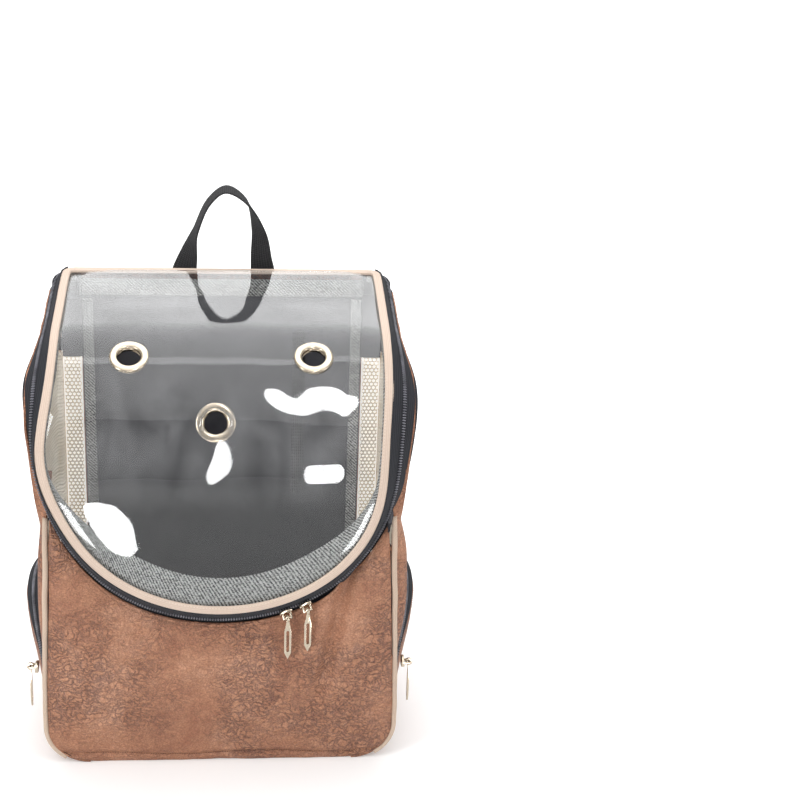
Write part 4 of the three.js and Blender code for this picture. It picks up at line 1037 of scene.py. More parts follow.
tops = side_tops(420)
mesh_end = int(np.argmax(tops[:, 1] < MESH_FRONT))
print("side walls have", len(tops), "columns, the mesh", mesh_end)

# %% [markdown]
# Behind, the zip ends at the hinge. Its tape is gathered round each top corner of the body and closes the gap
# between the side wall and the band above the back.

# %% Zip ends at the top corners
CORNER_FOOT, CORNER_TOP, CORNER_FALL = 384, 409.5, 4.5


def make_zip_corner(word, side):
    path = even_path([(137, 114.6, 0), (147, 115.8, 0), (156, 113.8, 0), (160.5, 107, 0), (162.2, 94, 0)], 50)
    points = []
    for t, (x, y, _) in zip(np.linspace(0, 1, len(path)), path):
        top = CORNER_TOP - CORNER_FALL * t
        points.append([(x, y - 3 * k * (1 - t), mix(CORNER_FOOT, top, k)) for k in np.linspace(0, 1, 14)])
    points = crumple(np.array(points), amount=1.8, size=9, seed=12, stretch=(1, 1, 2.5))
    return shell(f"lid_zip_corner_{word}_tape", flip(points, side), 1.0, [black_zip])


for word, side in SIDES:
    settle(make_zip_corner(word, side), "black_zip")

# %% [markdown]
# The front panel is stretched between the round end of the window and the floor seam. It bellies out, has one
# long soft crease on the right, and rolls under along the floor, where the base's seam pulls it in. Outer
# faces that carry stitches are kept by name until the sewing.

# %% Front panel
CREASE_X, CREASE_Z, CREASE_SLOPE, CREASE_DEEP, CREASE_WIDE = 92, 80, 27 / 132, 7.5, 7
RIDGE_BESIDE, RIDGE_HIGH, RIDGE_WIDE = 19, 3.6, 11
HEM_DEEP = 2.6
skins = {}


def front_curves():
    top_z, top_half = WAIST_Z - 2, WAIST_HALF - 1
    left = [(-mix(top_half, BASE_HALF, (k / 6) ** 0.7), 0, mix(top_z, CORNER_R, k / 6)) for k in range(7)]
    for k in range(1, 6):
        a = math.radians(90) * k / 5
        left.append((-BASE_HALF + CORNER_R * (1 - math.cos(a)), 0, CORNER_R * (1 - math.sin(a))))
    seam = left + [(0, 0, 0)] + [(-x, y, z) for x, y, z in reversed(left)]
    edge = lid_edge(121)
    chin = beside_edge(edge, zip_spread(edge)[0] + ZIP_CLEAR + 1.2, 0)
    chin = chin[(chin[:, 2] < top_z) & (chin[:, 1] < LID_FRONT + 1)] * np.array([1, 0, 1])
    return seam, chin[::-1]


def hem_height(x):
    """The base's seam shows as a wavy line along the foot of the panel."""
    return 9 + 1.5 * np.sin(x / 23)


def make_front_panel():
    seam, mouth = front_curves()
    columns, rows = 200, 90
    low, high = even_path(seam, columns), even_path(mouth, columns)
    u = np.linspace(0, 1, columns)[:, None]
    v = np.linspace(0, 1, rows)[None] ** 1.3
    points = low[:, None] * (1 - v[..., None]) + high[:, None] * v[..., None]
    points[..., 0] *= 1 - 1.4 / BASE_HALF
    points[..., 2] += 0.6 * (1 - v)
    swell = FRONT_SWELL * np.sin(math.pi * (0.1 + 0.85 * v)) * np.sin(math.pi * u) ** 0.6
    x, z = points[..., 0], points[..., 2]
    crease_x = CREASE_X + (z - CREASE_Z) * CREASE_SLOPE
    reach = smooth(40, 100, z) * (1 - smooth(205, 235, z))
    crease = CREASE_DEEP * bell(x, crease_x, CREASE_WIDE) * reach
    ridge = RIDGE_HIGH * bell(x, crease_x - RIDGE_BESIDE, RIDGE_WIDE) * reach
    hem = HEM_DEEP * bell(z, hem_height(x), HEM_DEEP)
    roll = 2.5 * (1 - smooth(0, 6, z))
    points[..., 1] = FRONT_SEAM_Y - 1 - swell + crease - ridge + hem + roll
    points = crumple(points, amount=1.5, size=62, seed=1, stretch=(1, 1, 1.5))
    points = crumple(points, amount=0.5, size=17, seed=2)
    points[..., 2] = np.maximum(points[..., 2], 0.3)
    foot = np.minimum(points[..., 1], FRONT_SEAM_Y - 0.4)
    points[..., 1] = np.where(points[..., 2] < 7, foot, points[..., 1])
    skins["front_panel"] = points
    return shell("front_panel_leather", points, 1.2, WALL)


settle(make_front_panel(), "brown_leather", "front_panel")

# %% [markdown]
# Each side has three pieces of cloth: the leather behind the pocket, which turns under to meet the base; the
# leather along the zip and in front of the mesh; and the mesh itself.

# %% Leather sides and base
def make_side_lower(word, side):
    ys = -(BACK_SEAM_Y + 2.5) * np.cos(np.linspace(0, math.pi, 76))
    columns = []
    for y in ys:
        lean = seam_half(y, CORNER_R) - BASE_HALF
        bend = [(BASE_HALF - CORNER_R + lean * t + CORNER_R * math.sin(t * math.pi / 2), y,
                 CORNER_R * (1 - math.cos(t * math.pi / 2))) for t in np.linspace(0, 1, 13)[:-1]]
        zs = np.linspace(CORNER_R, pocket_crown(y), 34)
        near = np.clip(y, FRONT_SEAM_Y, BACK_SEAM_Y)
        rise = [(seam_half(y, z) + side_swell(near, z) + front_fullness(y, z, side), y, z) for z in zs]
        columns.append(bend + rise)
    points = crumple(np.array(columns), amount=0.7, size=30, seed=5)
    points[..., 2] = np.maximum(points[..., 2], 0.3)
    return shell(f"side_lower_{word}_leather", flip(points, side), 2.0, WALL)


def make_side_upper(word, side):
    strip_rows, band_rows = 22, 20
    columns = []
    for top in tops:
        split = top[2] - MESH_BAND
        strip = np.linspace(pocket_crown(top[1]) + 0.3, split, strip_rows + 1)[:-1]
        band = np.linspace(split, top[2], band_rows)
        columns.append([side_point(top, z) for z in np.concatenate([strip, band])])
    last = np.array(columns[-1])
    half = seam_half(FRONT_SEAM_Y, np.minimum(last[:, 2], WAIST_Z)) + 0.6
    seam = np.stack([half, np.full(len(last), FRONT_SEAM_Y - 1.2), last[:, 2]], axis=1)
    seam[:, :2] += np.array([-5, 3]) * smooth(WAIST_Z - 14, WAIST_Z + 6, last[:, 2:3])
    points = np.array(columns + [mix(last, seam, t) for t in (0.3, 0.65, 1.0)])
    rows = np.arange(points.shape[1])
    points[..., 0] += front_fullness(points[..., 1], points[..., 2], side)
    puff = np.where(rows > strip_rows, np.sin(math.pi * np.clip((rows - strip_rows) / band_rows, 0, 1)), 0)
    points[..., 0] += 1.8 * puff[None]
    points = crumple(points, amount=0.9, size=34, seed=7, stretch=(1, 0.7, 1.6))
    keep = np.zeros((len(points) - 1, points.shape[1] - 1), bool)
    keep[:, strip_rows:] = True
    keep[mesh_end - 1:, :] = True
    skins[f"side_upper_{word}"] = flip(points, side)
    return shell(f"side_upper_{word}_leather", skins[f"side_upper_{word}"], 2.0, WALL, keep=keep)


def make_base():
    xs = np.linspace(-1, 1, 60) * (BASE_HALF - CORNER_R - 0.4)
    ys = np.linspace(FRONT_SEAM_Y + 2.8, BACK_SEAM_Y - 0.4, 40)
    grid = np.stack(np.broadcast_arrays(xs[:, None], ys[None], 0.35), axis=-1).astype(float)
    return shell("base_leather", crumple(grid, amount=0.25, size=40, seed=4), 2.1, WALL)


for word, side in SIDES:
    settle(make_side_lower(word, side), "brown_leather", f"side_lower_{word}")
    settle(make_side_upper(word, side), "brown_leather", f"side_upper_{word}")
settle(make_base(), "brown_leather", "base_panel")

# %% [markdown]
# The mesh is an open fabric of small six-sided holes. A staggered grid of triangles is laid over the side,
# and a node tree takes its dual, which is a honeycomb, and opens a hole in each cell.

# %% Open mesh tree
def mesh_tree():
    tree, given = group_tree("open_mesh", [("Hole", 0.6)], "Net")
    cells = put(tree, "GeometryNodeDualMesh", {"Mesh": given["Shape"]}).outputs["Dual Mesh"]
    inset = put(tree, "GeometryNodeExtrudeMesh", {"Mesh": cells, "Offset Scale": 0.0, "Individual": True},
                mode="FACES").outputs
    shrunk = put(tree, "GeometryNodeScaleElements",
                 {"Geometry": inset["Mesh"], "Selection": inset["Top"], "Scale": given["Hole"]},
                 domain="FACE")
    opened = put(tree, "GeometryNodeDeleteGeometry",
                 {"Geometry": shrunk.outputs["Geometry"], "Selection": inset["Top"]}, domain="FACE")
    return end_tree(tree, given, opened.outputs["Geometry"], "Net")


net = mesh_tree()
print("tree:", net.name, len(net.nodes), "nodes")

# %% [markdown]
# The net follows the side wall, turns round the back corner and ends in a narrow flange on the back. Solidify
# gives it a yarn's thickness.

# %% Mesh sides
def mesh_surface():
    """A function from two parameters to a place on the mesh, front edge to flange and bottom to top."""
    path = tops[:mesh_end][::-1]
    along = distances(path)
    total = along[-1] + (BACK_HALF - MESH_FLANGE)

    def at(u, v):
        reach = u * total
        top = between(min(reach, along[-1]), along, path)
        z = mix(pocket_crown(top[1]) + 1.2, top[2] - MESH_BAND - 0.4, v)
        place = side_point(top, z)
        if reach > along[-1]:
            turn = smooth(0, 6, reach - along[-1])
            place = np.array([mix(place[0], BACK_HALF - (reach - along[-1]), turn), BACK_SEAM_Y - 0.9, z])
        return place
    return at


def make_mesh_side(word, side):
    columns, rows = 54, 54
    at = mesh_surface()
    points, faces = [], []
    for j in range(rows + 1):
        for i in range(columns + 1):
            u = np.clip((i + 0.5 * (j % 2)) / columns, 0, 1)
            points.append(flip(at(u, j / rows), side) * MM)
    stride = columns + 1
    for j in range(rows):
        for i in range(columns):
            a, b, c, d = j * stride + i, j * stride + i + 1, (j + 1) * stride + i, (j + 1) * stride + i + 1
            faces += [(a, b, d), (a, d, c)] if j % 2 else [(a, b, c), (b, d, c)]
    if side > 0:
        faces = [face[::-1] for face in faces]
    base = bpy.data.meshes.new("net")
    base.from_pydata([tuple(p) for p in points], [], faces)
    piece = grown(f"side_mesh_{word}_net", base, net, cream_mesh, Hole=0.68)
    wall = piece.modifiers.new("yarn", "SOLIDIFY")
    wall.thickness, wall.offset = 0.0011, -1
    return flatten(piece)


for word, side in SIDES:
    settle(make_mesh_side(word, side), "cream_mesh", f"side_mesh_{word}")

# %% [markdown]
# A pocket is a domed leather panel with a zip arching over its mouth from the front seam to the back seam.

# %% Pockets
def pocket_mouth(turn):
    y = -POCKET_HALF * math.cos(turn)
    end = mix(POCKET_FRONT, POCKET_BACK, (y + POCKET_HALF) / (2 * POCKET_HALF))
    return y, end + POCKET_RISE * math.sin(turn)


def pocket_face(y, z, rise):
    dome = (1 - (y / (POCKET_HALF + 4)) ** 2) * math.sin(math.pi / 2 * min(rise * 1.25, 1)) ** 1.2
    return float(seam_half(y, z) + side_swell(y, z)) + 2.6 + (POCKET_SWELL - SIDE_SWELL * 0.45) * dome


def make_pocket(word, side):
    columns = []
    for turn in np.linspace(0, math.pi, 70):
        y, top = pocket_mouth(turn)
        columns.append([(pocket_face(y, z, t), y, z)
                        for t, z in zip(np.linspace(0, 1, 40), np.linspace(POCKET_BOTTOM, top, 40))])
    points = crumple(np.array(columns), amount=1.2, size=36, seed=9, stretch=(1, 1, 1.4))
    skins[f"pocket_{word}"] = flip(points, side)
    return shell(f"pocket_{word}_leather", skins[f"pocket_{word}"], 1.6, WALL)


def make_pocket_zip(word, side):
    edges, normals = [], []
    for turn in np.linspace(0.06, math.pi - 0.06, 120):
        y, z = pocket_mouth(turn)
        away = np.array([0, -math.cos(turn) * POCKET_RISE, math.sin(turn) * POCKET_HALF])
        away /= np.linalg.norm(away)
        outer = np.array([pocket_face(y, z, 1) - 0.4, y, z]) + away * 0.8
        iy, iz = y + away[1] * 8, z + away[2] * 8
        inner = np.array([float(seam_half(iy, iz) + side_swell(iy, iz)) + 1.2, iy, iz])
        face = np.cross(unit(inner - outer), np.array([0, away[2], -away[1]]))
        normals.append(face * np.sign(face[0]))
        edges.append((outer, inner))
    edges, normals = np.array(edges), unit(np.array(normals))
    q = np.linspace(0, 1, 9)[None, :, None]
    points = edges[:, :1] * (1 - q) + edges[:, 1:] * q + normals[:, None] * 0.6
    tape = shell(f"pocket_zip_{word}_tape", flip(points, side), 1.1, [black_zip])
    line = edges.mean(axis=1) + normals * 1.2
    teeth = beads_along(f"pocket_zip_{word}_teeth", [flip(line, side)], black_teeth, **TEETH,
                        width=4.2, height=2.2, faces=[flip(normals, side)])
    return tape, teeth


for word, side in SIDES:
    settle(make_pocket(word, side), "brown_leather", f"pocket_{word}")
    tape, teeth = make_pocket_zip(word, side)
    settle(tape, "black_zip", f"pocket_zip_{word}")
    settle(teeth, "black_zip")

# %% [markdown]
# Piping is a cord wrapped in bias-cut cloth and sewn into a seam. It is a round tube with a slanted weave
# that follows the seam and dives under at the bottom corners.

# %% Piping
def round_cord(name, line, radius, finish, around=14):
    tangents = unit(np.gradient(line, axis=0))
    across = unit(np.array([0, 1, 0]) - tangents * tangents[:, 1:2])
    face = np.cross(tangents, across)
    angles = np.linspace(0, 2 * math.pi, around, endpoint=False)
    rings = [line + radius * (across * math.cos(a) + face * math.sin(a)) for a in angles]
    return tube(name, np.stack(rings, axis=1), finish)


def make_piping(word, side):
    drop = np.radians(58) * np.linspace(0, 1, 12)[1:]
    rows = [("front", np.linspace(WAIST_Z - 12, CORNER_R, 60), FRONT_SEAM_Y - 0.8,
             lambda z: seam_half(FRONT_SEAM_Y, z) + 2.2),
            ("back", np.linspace(BACK_TOP - 4, CORNER_R, 80), BACK_SEAM_Y + 3.2, lambda z: BACK_HALF + 2.2)]
    for where, zs, y, half in rows:
        line = [(float(half(z)), y, z) for z in zs]
        start = float(half(CORNER_R)) - CORNER_R
        line += [(start + CORNER_R * math.cos(a), y, CORNER_R * (1 - math.sin(a))) for a in drop]
        line = np.array(line)
        line[:, 0] += [0.5 * noise.noise(Vector((p[1], 0, p[2])) / 21) for p in line]
        piece = round_cord(f"piping_{where}_{word}_cord", flip(line, side), 2.5, beige_piping)
        settle(piece, "beige_piping", f"piping_{where}_{word}")


for word, side in SIDES:
    make_piping(word, side)

# %% [markdown]
# ## The padded back
# Foam under leather swells between its seams. Cloth simulation does the same: the block is remeshed into
# even faces, its edge is pinned, and a little pressure pushes the cover out. A cap on how far a point may
# move keeps it in the space it has.

# %% Padding by simulation
def remesh(piece, voxel):
    cut = piece.modifiers.new("remesh", "REMESH")
    cut.mode, cut.voxel_size = "VOXEL", voxel * MM
    return flatten(piece)


def puff_up(piece, pinned, cap, pressure=4.0, frames=20):
    """Swells a closed piece like foam under its cover; pinned says which points the seams hold."""
    rest = np.array([v.co for v in piece.data.vertices])
    group = piece.vertex_groups.new(name="sewn")
    group.add([int(k) for k in np.nonzero(pinned(rest / MM))[0]], 1.0, "REPLACE")
    cloth = piece.modifiers.new("cover", "CLOTH")
    cloth.settings.quality = 4
    cloth.settings.mass = 0.3
    cloth.settings.use_pressure = True
    cloth.settings.uniform_pressure_force = pressure
    cloth.settings.vertex_group_mass = "sewn"
    cloth.settings.effector_weights.gravity = 0
    cloth.point_cache.frame_start, cloth.point_cache.frame_end = 1, frames
    for step in range(1, frames + 1):
        bpy.context.scene.frame_set(step)
    swollen = piece.evaluated_get(bpy.context.evaluated_depsgraph_get()).data
    moved = np.array([v.co for v in swollen.vertices]) - rest
    far = np.linalg.norm(moved, axis=1, keepdims=True)
    moved *= np.minimum(1, cap * MM / np.maximum(far, 1e-9))
    piece.modifiers.remove(cloth)
    piece.vertex_groups.clear()
    piece.data.vertices.foreach_set("co", (rest + moved).ravel())
    bpy.context.scene.frame_set(1)
    print(piece.name, "swelled by up to", round(float(np.linalg.norm(moved, axis=1).max()) * 1000, 1), "mm")


print("padding helpers ready")

# %% [markdown]
# The back panel is leather over foam, sewn down all round. Wrinkles come after the swelling, because a remesh
# would erase them.

# %% Back panel
def soften(piece, amounts, seed):
    """One subdivision, then wrinkles along the normals; amounts are (height, size, stretch) in mm."""
    even = piece.modifiers.new("even", "SUBSURF")
    even.levels = even.render_levels = 1
    flatten(piece)
    mesh = piece.data
    points = np.array([v.co for v in mesh.vertices])
    normals = np.array([v.normal for v in mesh.vertices])
    for height, size, stretch in amounts:
        scaled = points / (np.asarray(stretch) * size * MM) + seed * 11.7
        points = points + normals * (rumple(scaled, 0.5, 2.1) * height * MM)[:, None]
    mesh.vertices.foreach_set("co", points.ravel())
    mesh.polygons.foreach_set("use_smooth", [True] * len(mesh.polygons))
    mesh.update()
    return piece


def make_back_panel():
    half = BACK_HALF - 0.8
    xs = -half * np.cos(np.linspace(0, math.pi, 60))
    run = np.maximum(np.abs(xs) - (half - CORNER_R), 0)
    floor_z = np.maximum(CORNER_R - np.sqrt(np.maximum(CORNER_R ** 2 - run ** 2, 0)), 0.6)
    v = np.linspace(0, 1, 60)[None]
    z = mix(floor_z[:, None], BACK_TOP - 0.3, v)
    crown = 2.0 * (1 - (xs[:, None] / half) ** 2) * np.sin(math.pi * v)
    points = np.stack([np.broadcast_to(xs[:, None], z.shape), BACK_SEAM_Y + 5.4 + crown, z], axis=-1)
    piece = remesh(shell("back_panel_padded", points, 4.4, [brown_back]), 4.5)
    puff_up(piece, lambda p: (np.abs(p[:, 0]) > half - 7) | (p[:, 2] > BACK_TOP - 8) | (p[:, 2] < 9)
            | (p[:, 1] < BACK_SEAM_Y + 2.6), cap=2.2)
    return soften(piece, [(0.8, 40, (1, 1, 1.3)), (0.45, 11, (1, 1, 1))], 3)


back = make_back_panel()
settle(back, "brown_leather", "back_panel")

# %% [markdown]
# The band above the back panel covers the hinge of the lid, and the handle's feet are sewn onto it.

# %% Top band
def make_top_band():
    half = LID_HALF - LID_CORNER - 2
    xs = np.linspace(-half, half, 120)
    v = np.linspace(0, 1, 16)
    bow = 1.6 * np.sin(math.pi * v)
    y = mix(BACK_SEAM_Y + 6, LID_HINGE + 2.5, v) + bow
    z = mix(BACK_TOP + 0.4, 411, v)
    points = np.stack(np.broadcast_arrays(xs[:, None], y[None], z[None]), axis=-1).astype(float)
    points = crumple(points, amount=0.7, size=24, seed=6, stretch=(1.5, 1, 1))
    skins["top_band"] = points
    return shell("top_band_leather", points, 2.0, [brown_back])


settle(make_top_band(), "brown_leather", "top_band")

# %% [markdown]
# ## What shows through the window
# The back is lined with loose nylon that hangs in soft upright folds. Heather strips bind its sides and cover
# the hinge, and a black tether runs down it. They are thin sheets facing the window.

# %% Inside
def flat_sheet(name, x, z, y, thick, finish, folds, seed, counts=(60, 60)):
    xs, zs = np.linspace(*x, counts[0]), np.linspace(*z, counts[1])
    points = np.stack(np.broadcast_arrays(xs[:, None], float(y), zs[None]), axis=-1).astype(float)
    for height, size, stretch in folds:
        points = crumple(points, height, size, seed, inside=(0, 300, 200), stretch=stretch)
    return shell(name, points, thick, [finish], inside=(0, 300, 200))


def beside(side, near, far):
    return sorted((side * near, side * far))


EVEN = (1, 1, 1)
lining = flat_sheet("back_lining_cloth", x=(-137, 137), z=(42, 389), y=107.6, thick=1.2,
                    finish=charcoal_lining, folds=[(2.2, 30, (1, 1, 4.5)), (0.9, 26, EVEN)], seed=2,
                    counts=(110, 110))
settle(lining, "charcoal_lining", "back_lining")
hinge = flat_sheet("hinge_lining_cloth", x=(-138, 138), z=(387, 404), y=105.8, thick=1.0, finish=heather_tape,
                   folds=[(0.5, 22, EVEN)], seed=4, counts=(90, 10))
settle(hinge, "heather_tape", "hinge_lining")
tether = flat_sheet("tether_webbing", x=(69, 81), z=(176, 350), y=105.4, thick=1.4, finish=black_webbing,
                    folds=[(0.5, 60, EVEN)], seed=6, counts=(8, 60))
settle(tether, "black_webbing", "tether_strap")
for word, side in SIDES:
    strip = flat_sheet(f"lining_binding_{word}_tape", x=beside(side, 126, 136), z=(130, 384), y=105.8,
                       thick=1.0, finish=heather_tape, folds=[(0.4, 25, EVEN)], seed=8, counts=(8, 90))
    settle(strip, "heather_tape", f"lining_binding_{word}")

# %% [markdown]
# Above the mesh the lining reaches round to the side walls, and behind the mesh's turned-in edge lies its
# hem.

# %% Corners of the lining
for word, side in SIDES:
    corner = flat_sheet(f"lining_corner_{word}_cloth", x=beside(side, 133, 157), z=(322, 389), y=109.4,
                        thick=1.0, finish=charcoal_lining, folds=[(0.7, 20, (1, 1, 2))], seed=9,
                        counts=(14, 40))
    settle(corner, "charcoal_lining")
    hem = flat_sheet(f"side_mesh_{word}_hem", x=beside(side, 138.5, 157), z=(126, 329), y=112.3,
                     thick=0.7, finish=hem_cloth_painted_glow, folds=[(0.2, 20, EVEN)], seed=10, counts=(10, 40))
    settle(hem, "cream_mesh")

# %% [markdown]
# ## Handle, shoulder straps and belt
# Webbing is woven flat and stays flat, so each strap is a ribbon along its path, turned by a direction for
# its width at each place where it is held.

# %% Handle
HANDLE_Y = BACK_SEAM_Y + 9.4
HANDLE = [((-41, HANDLE_Y, 385), (1, 0, 0)), ((-38, HANDLE_Y, 404), (0.88, -0.47, 0)),
          ((-33.5, HANDLE_Y, 422), (0.62, -0.78, 0)), ((-26, HANDLE_Y, 449), (0.12, -1, 0)),
          ((-13, HANDLE_Y, 478), (0.05, -1, 0)), ((3, HANDLE_Y, 490), (0, -1, 0)),
          ((23, HANDLE_Y, 478), (0.1, -1, 0)), ((35, HANDLE_Y, 448), (0.5, -0.87, 0)),
          ((37.5, HANDLE_Y, 422), (0.72, -0.69, 0)), ((39.5, HANDLE_Y, 404), (0.88, -0.47, 0)),
          ((41, HANDLE_Y, 385), (1, 0, 0))]
WEB_THICK, STRAP_WIDTH, HANDLE_WIDTH = 1.8, 25, 28


def webbing(name, rows, width=STRAP_WIDTH):
    return ribbon(name, rows, width, WEB_THICK, black_webbing)


settle(webbing("handle_webbing", strap_rows(HANDLE, 120), HANDLE_WIDTH), "black_webbing", "handle")

# %% [markdown]
# A shoulder strap is a foam pad covered in leather. It follows a curve from the top of the back to the floor
# behind the bag, gets narrower at its foot, and is simulated like the back.

# %% Shoulder pads
PAD_THICK, PAD_HALF, PAD_BIND, PAD_TIP = 11, 43, 13.5, 0.955
PAD_PATH = [(60, 127, 381), (57, 136, 328), (52, 158, 256), (54, 184, 180), (61, 207, 102), (60, 215, 28)]


def pad_frame(side):
    line = even_path(flip(PAD_PATH, side), 401)
    tangents = unit(np.gradient(line, axis=0))
    across = unit(np.array([1, 0, 0]) - tangents * tangents[:, :1])
    face = np.cross(across, tangents)
    us = np.linspace(0, 1, 401)

    def at(u, offset, height):
        place, wide, off = (between(u, us, rows) for rows in (line, across, face))
        return place + wide * offset + off * height
    return at


def pad_half(u):
    return PAD_HALF * (1 - 0.45 * float(smooth(0.9, 1, u)) ** 2)


def make_pad(word, side):
    at = pad_frame(side)
    ks = np.linspace(-1, 1, 15)
    top, middle = [], []
    for u in np.linspace(0, PAD_TIP - 0.003, 90):
        half = pad_half(u) - PAD_BIND
        top.append([at(u, k * half, PAD_THICK / 2 * (1 - 0.2 * k * k)) for k in ks])
        middle.append([at(u, k * half, 0) for k in ks])
    top, middle = np.array(top), np.array(middle)
    below = 2 * middle - top
    rings = np.concatenate([top, below[:, ::-1]], axis=1)
    piece = remesh(tube(f"shoulder_pad_{word}_padded", rings, brown_back), 4)
    spine = middle[:, len(ks) // 2]

    def held(points):
        near = np.linalg.norm(points[:, None] - spine[None], axis=2).min(axis=1)
        return near > PAD_HALF - PAD_BIND - 4

    puff_up(piece, held, cap=1.8)
    return soften(piece, [(0.7, 26, (1, 1, 1)), (0.35, 9, (1, 1, 1))], 5 + side)


print("a pad is", 2 * PAD_HALF, "mm wide and", PAD_THICK, "mm thick")

# %% [markdown]
# Ribbed webbing is folded round the pad's edge. It is a thick rounded strip that runs down one side, round
# the foot and up the other.

# %% Pads and their edges
def pad_border(side):
    """The middle line of the edge webbing with its width and face directions."""
    at = pad_frame(side)
    inset = PAD_BIND / 2
    down = [(u, -(pad_half(u) - inset)) for u in np.linspace(0, 0.93, 60)]
    foot_half = pad_half(0.98) - inset
    foot = [(0.978, k * foot_half) for k in np.linspace(-0.75, 0.75, 9)]
    up = [(u, pad_half(u) - inset) for u in np.linspace(0.93, 0, 60)]
    route = down + foot + up
    line = even_path([at(u, k, 0) for u, k in route], 260)
    lifted = even_path([at(u, k, 1) for u, k in route], 260)
    tangents = unit(np.gradient(line, axis=0))
    face = unit(lifted - line)
    return line, unit(np.cross(face, tangents)), face


def make_pad_binding(word, side):
    return ribbon(f"strap_binding_{word}_webbing", pad_border(side), PAD_BIND, 9.4, black_webbing,
                  corner=0.34, steps=4)


for word, side in SIDES:
    pad = settle(make_pad(word, side), "brown_leather", f"shoulder_pad_{word}")
    settle(make_pad_binding(word, side), "black_webbing", f"strap_binding_{word}")

# %% [markdown]
# The foot of each strap carries a webbing patch that holds a ladder lock. From the leather tab at the back
# seam a second webbing runs to the lock, round its middle bar and out again as a free tail.

# %% Lower straps
LOCK_AT, LOCK_TURN = (80, 241, 8), math.radians(40)
TAB_REACH, TAB_LEAN, TAB_LOW, TAB_HIGH, TAB_TIP, TAB_THICK = 38, math.radians(50), 34, 106, 66, 3
ROUND_THE_BAR = [(34, 8), (16, 4.2), (3, 4.2), (-3.4, 2.6), (-4.4, 0), (-3.4, -2.6), (3, -4.2), (16, -4.6),
                 (34, -6.4)]
OVER_THE_LOCK = [(-17, 5.6), (-12, 4), (-8.6, 2), (-8, -1.2)]
TAILS = {"right": [(122, 271, 1.6), (142, 262, 1.6)],
         "left": [(124, 268, 1.6), (148, 246, 1.6), (160, 210, 1.6)]}


def lock_place(side, along, lift=0.0):
    x, y, z = LOCK_AT
    return np.array([side * (x + along * math.sin(LOCK_TURN)), y + along * math.cos(LOCK_TURN), z + lift])


def tab_place(side, out, off, z):
    c, s = math.cos(TAB_LEAN), math.sin(TAB_LEAN)
    return np.array([side * (BACK_HALF + 4.8 + out * c - off * s), BACK_SEAM_Y + 8 + out * s + off * c, z])


def make_patch(word, side):
    at = pad_frame(side)
    flat = (math.cos(LOCK_TURN), -side * math.sin(LOCK_TURN), 0)
    table = []
    for u in (0.8, 0.84, 0.88, 0.93, 0.97, 1):
        lift = PAD_THICK / 2 + 0.4 + WEB_THICK / 2 + 3 * float(smooth(0.93, 1, u))
        table.append((at(u, 0, lift), at(u, 1, 0) - at(u, 0, 0)))
    table += [(lock_place(side, along, lift), flat) for along, lift in OVER_THE_LOCK]
    skins[f"strap_patch_{word}"] = strap_rows(table, 100)
    return webbing(f"strap_patch_{word}_webbing", skins[f"strap_patch_{word}"])


def make_lower_strap(word, side):
    flat = np.array([math.cos(LOCK_TURN), -side * math.sin(LOCK_TURN), 0])
    off = TAB_THICK / 2 + 0.4 + WEB_THICK
    up = np.array([0, 0, -side])
    table = [(tab_place(side, 12, off + 0.4, 68), up), (tab_place(side, 42, off + 4, 60), up),
             ((side * 168, 190, 38), flat * 0.3 + up * 0.95), ((side * 142, 238, 24), flat * 0.7 + up * 0.7)]
    table += [(lock_place(side, along, lift), flat) for along, lift in ROUND_THE_BAR]
    table += [((side * x, y, z), flat) for x, y, z in TAILS[word]]
    return webbing(f"lower_strap_{word}_webbing", strap_rows(table, 12 * len(table)))


for word, side in SIDES:
    settle(make_patch(word, side), "black_webbing", f"strap_patch_{word}")
    settle(make_lower_strap(word, side), "black_webbing", f"lower_strap_{word}")

# %% [markdown]
# The belt's two webbings stand on edge on the floor behind the bag and meet in a side-release buckle.

# %% Belt
BUCKLE_Y, BUCKLE_Z, BAR = 316, 17.5, 3.4
BELT_TURN = [(1, -4), (-2.6, -3.3), (-4.3, 0), (-2.6, 3.3), (1, 4)]
BELTS = {"right": (19 - BAR / 2, [(70, 322), (142, 312)]), "left": (39 - BAR / 2, [(62, 320), (76, 317)])}


def make_belt(word, side):
    bar, tail = BELTS[word]
    z = STRAP_WIDTH / 2 + 0.8
    off = -(TAB_THICK / 2 + 0.4 + WEB_THICK)
    places = [tab_place(side, 14, off, 62), tab_place(side, 42, off, 56), (side * 191, 190, 36),
              (side * 182, 238, 18), (side * 150, 284, z), (side * 92, 307, z + 1),
              (side * (bar + 12), BUCKLE_Y - 4, BUCKLE_Z)]
    places += [(side * (bar + x), BUCKLE_Y + dy, BUCKLE_Z) for x, dy in BELT_TURN]
    places += [(side * (bar + 12), BUCKLE_Y + 4.4, BUCKLE_Z - 1)] + [(side * x, y, z) for x, y in tail]
    rows = strap_rows([(place, (0, 0, 1)) for place in places], 12 * len(places))
    return webbing(f"waist_belt_{word}_webbing", rows)


for word, side in SIDES:
    settle(make_belt(word, side), "black_webbing", f"waist_belt_{word}")

# %% [markdown]
# ## Hard pieces
# Sliders, pulls, locks and buckles already have their true shape in the frame, with sharp edges. A copy of
# the frame's mesh is merged into clean faces and bevelled, because every moulded or cast edge is a little
# round.

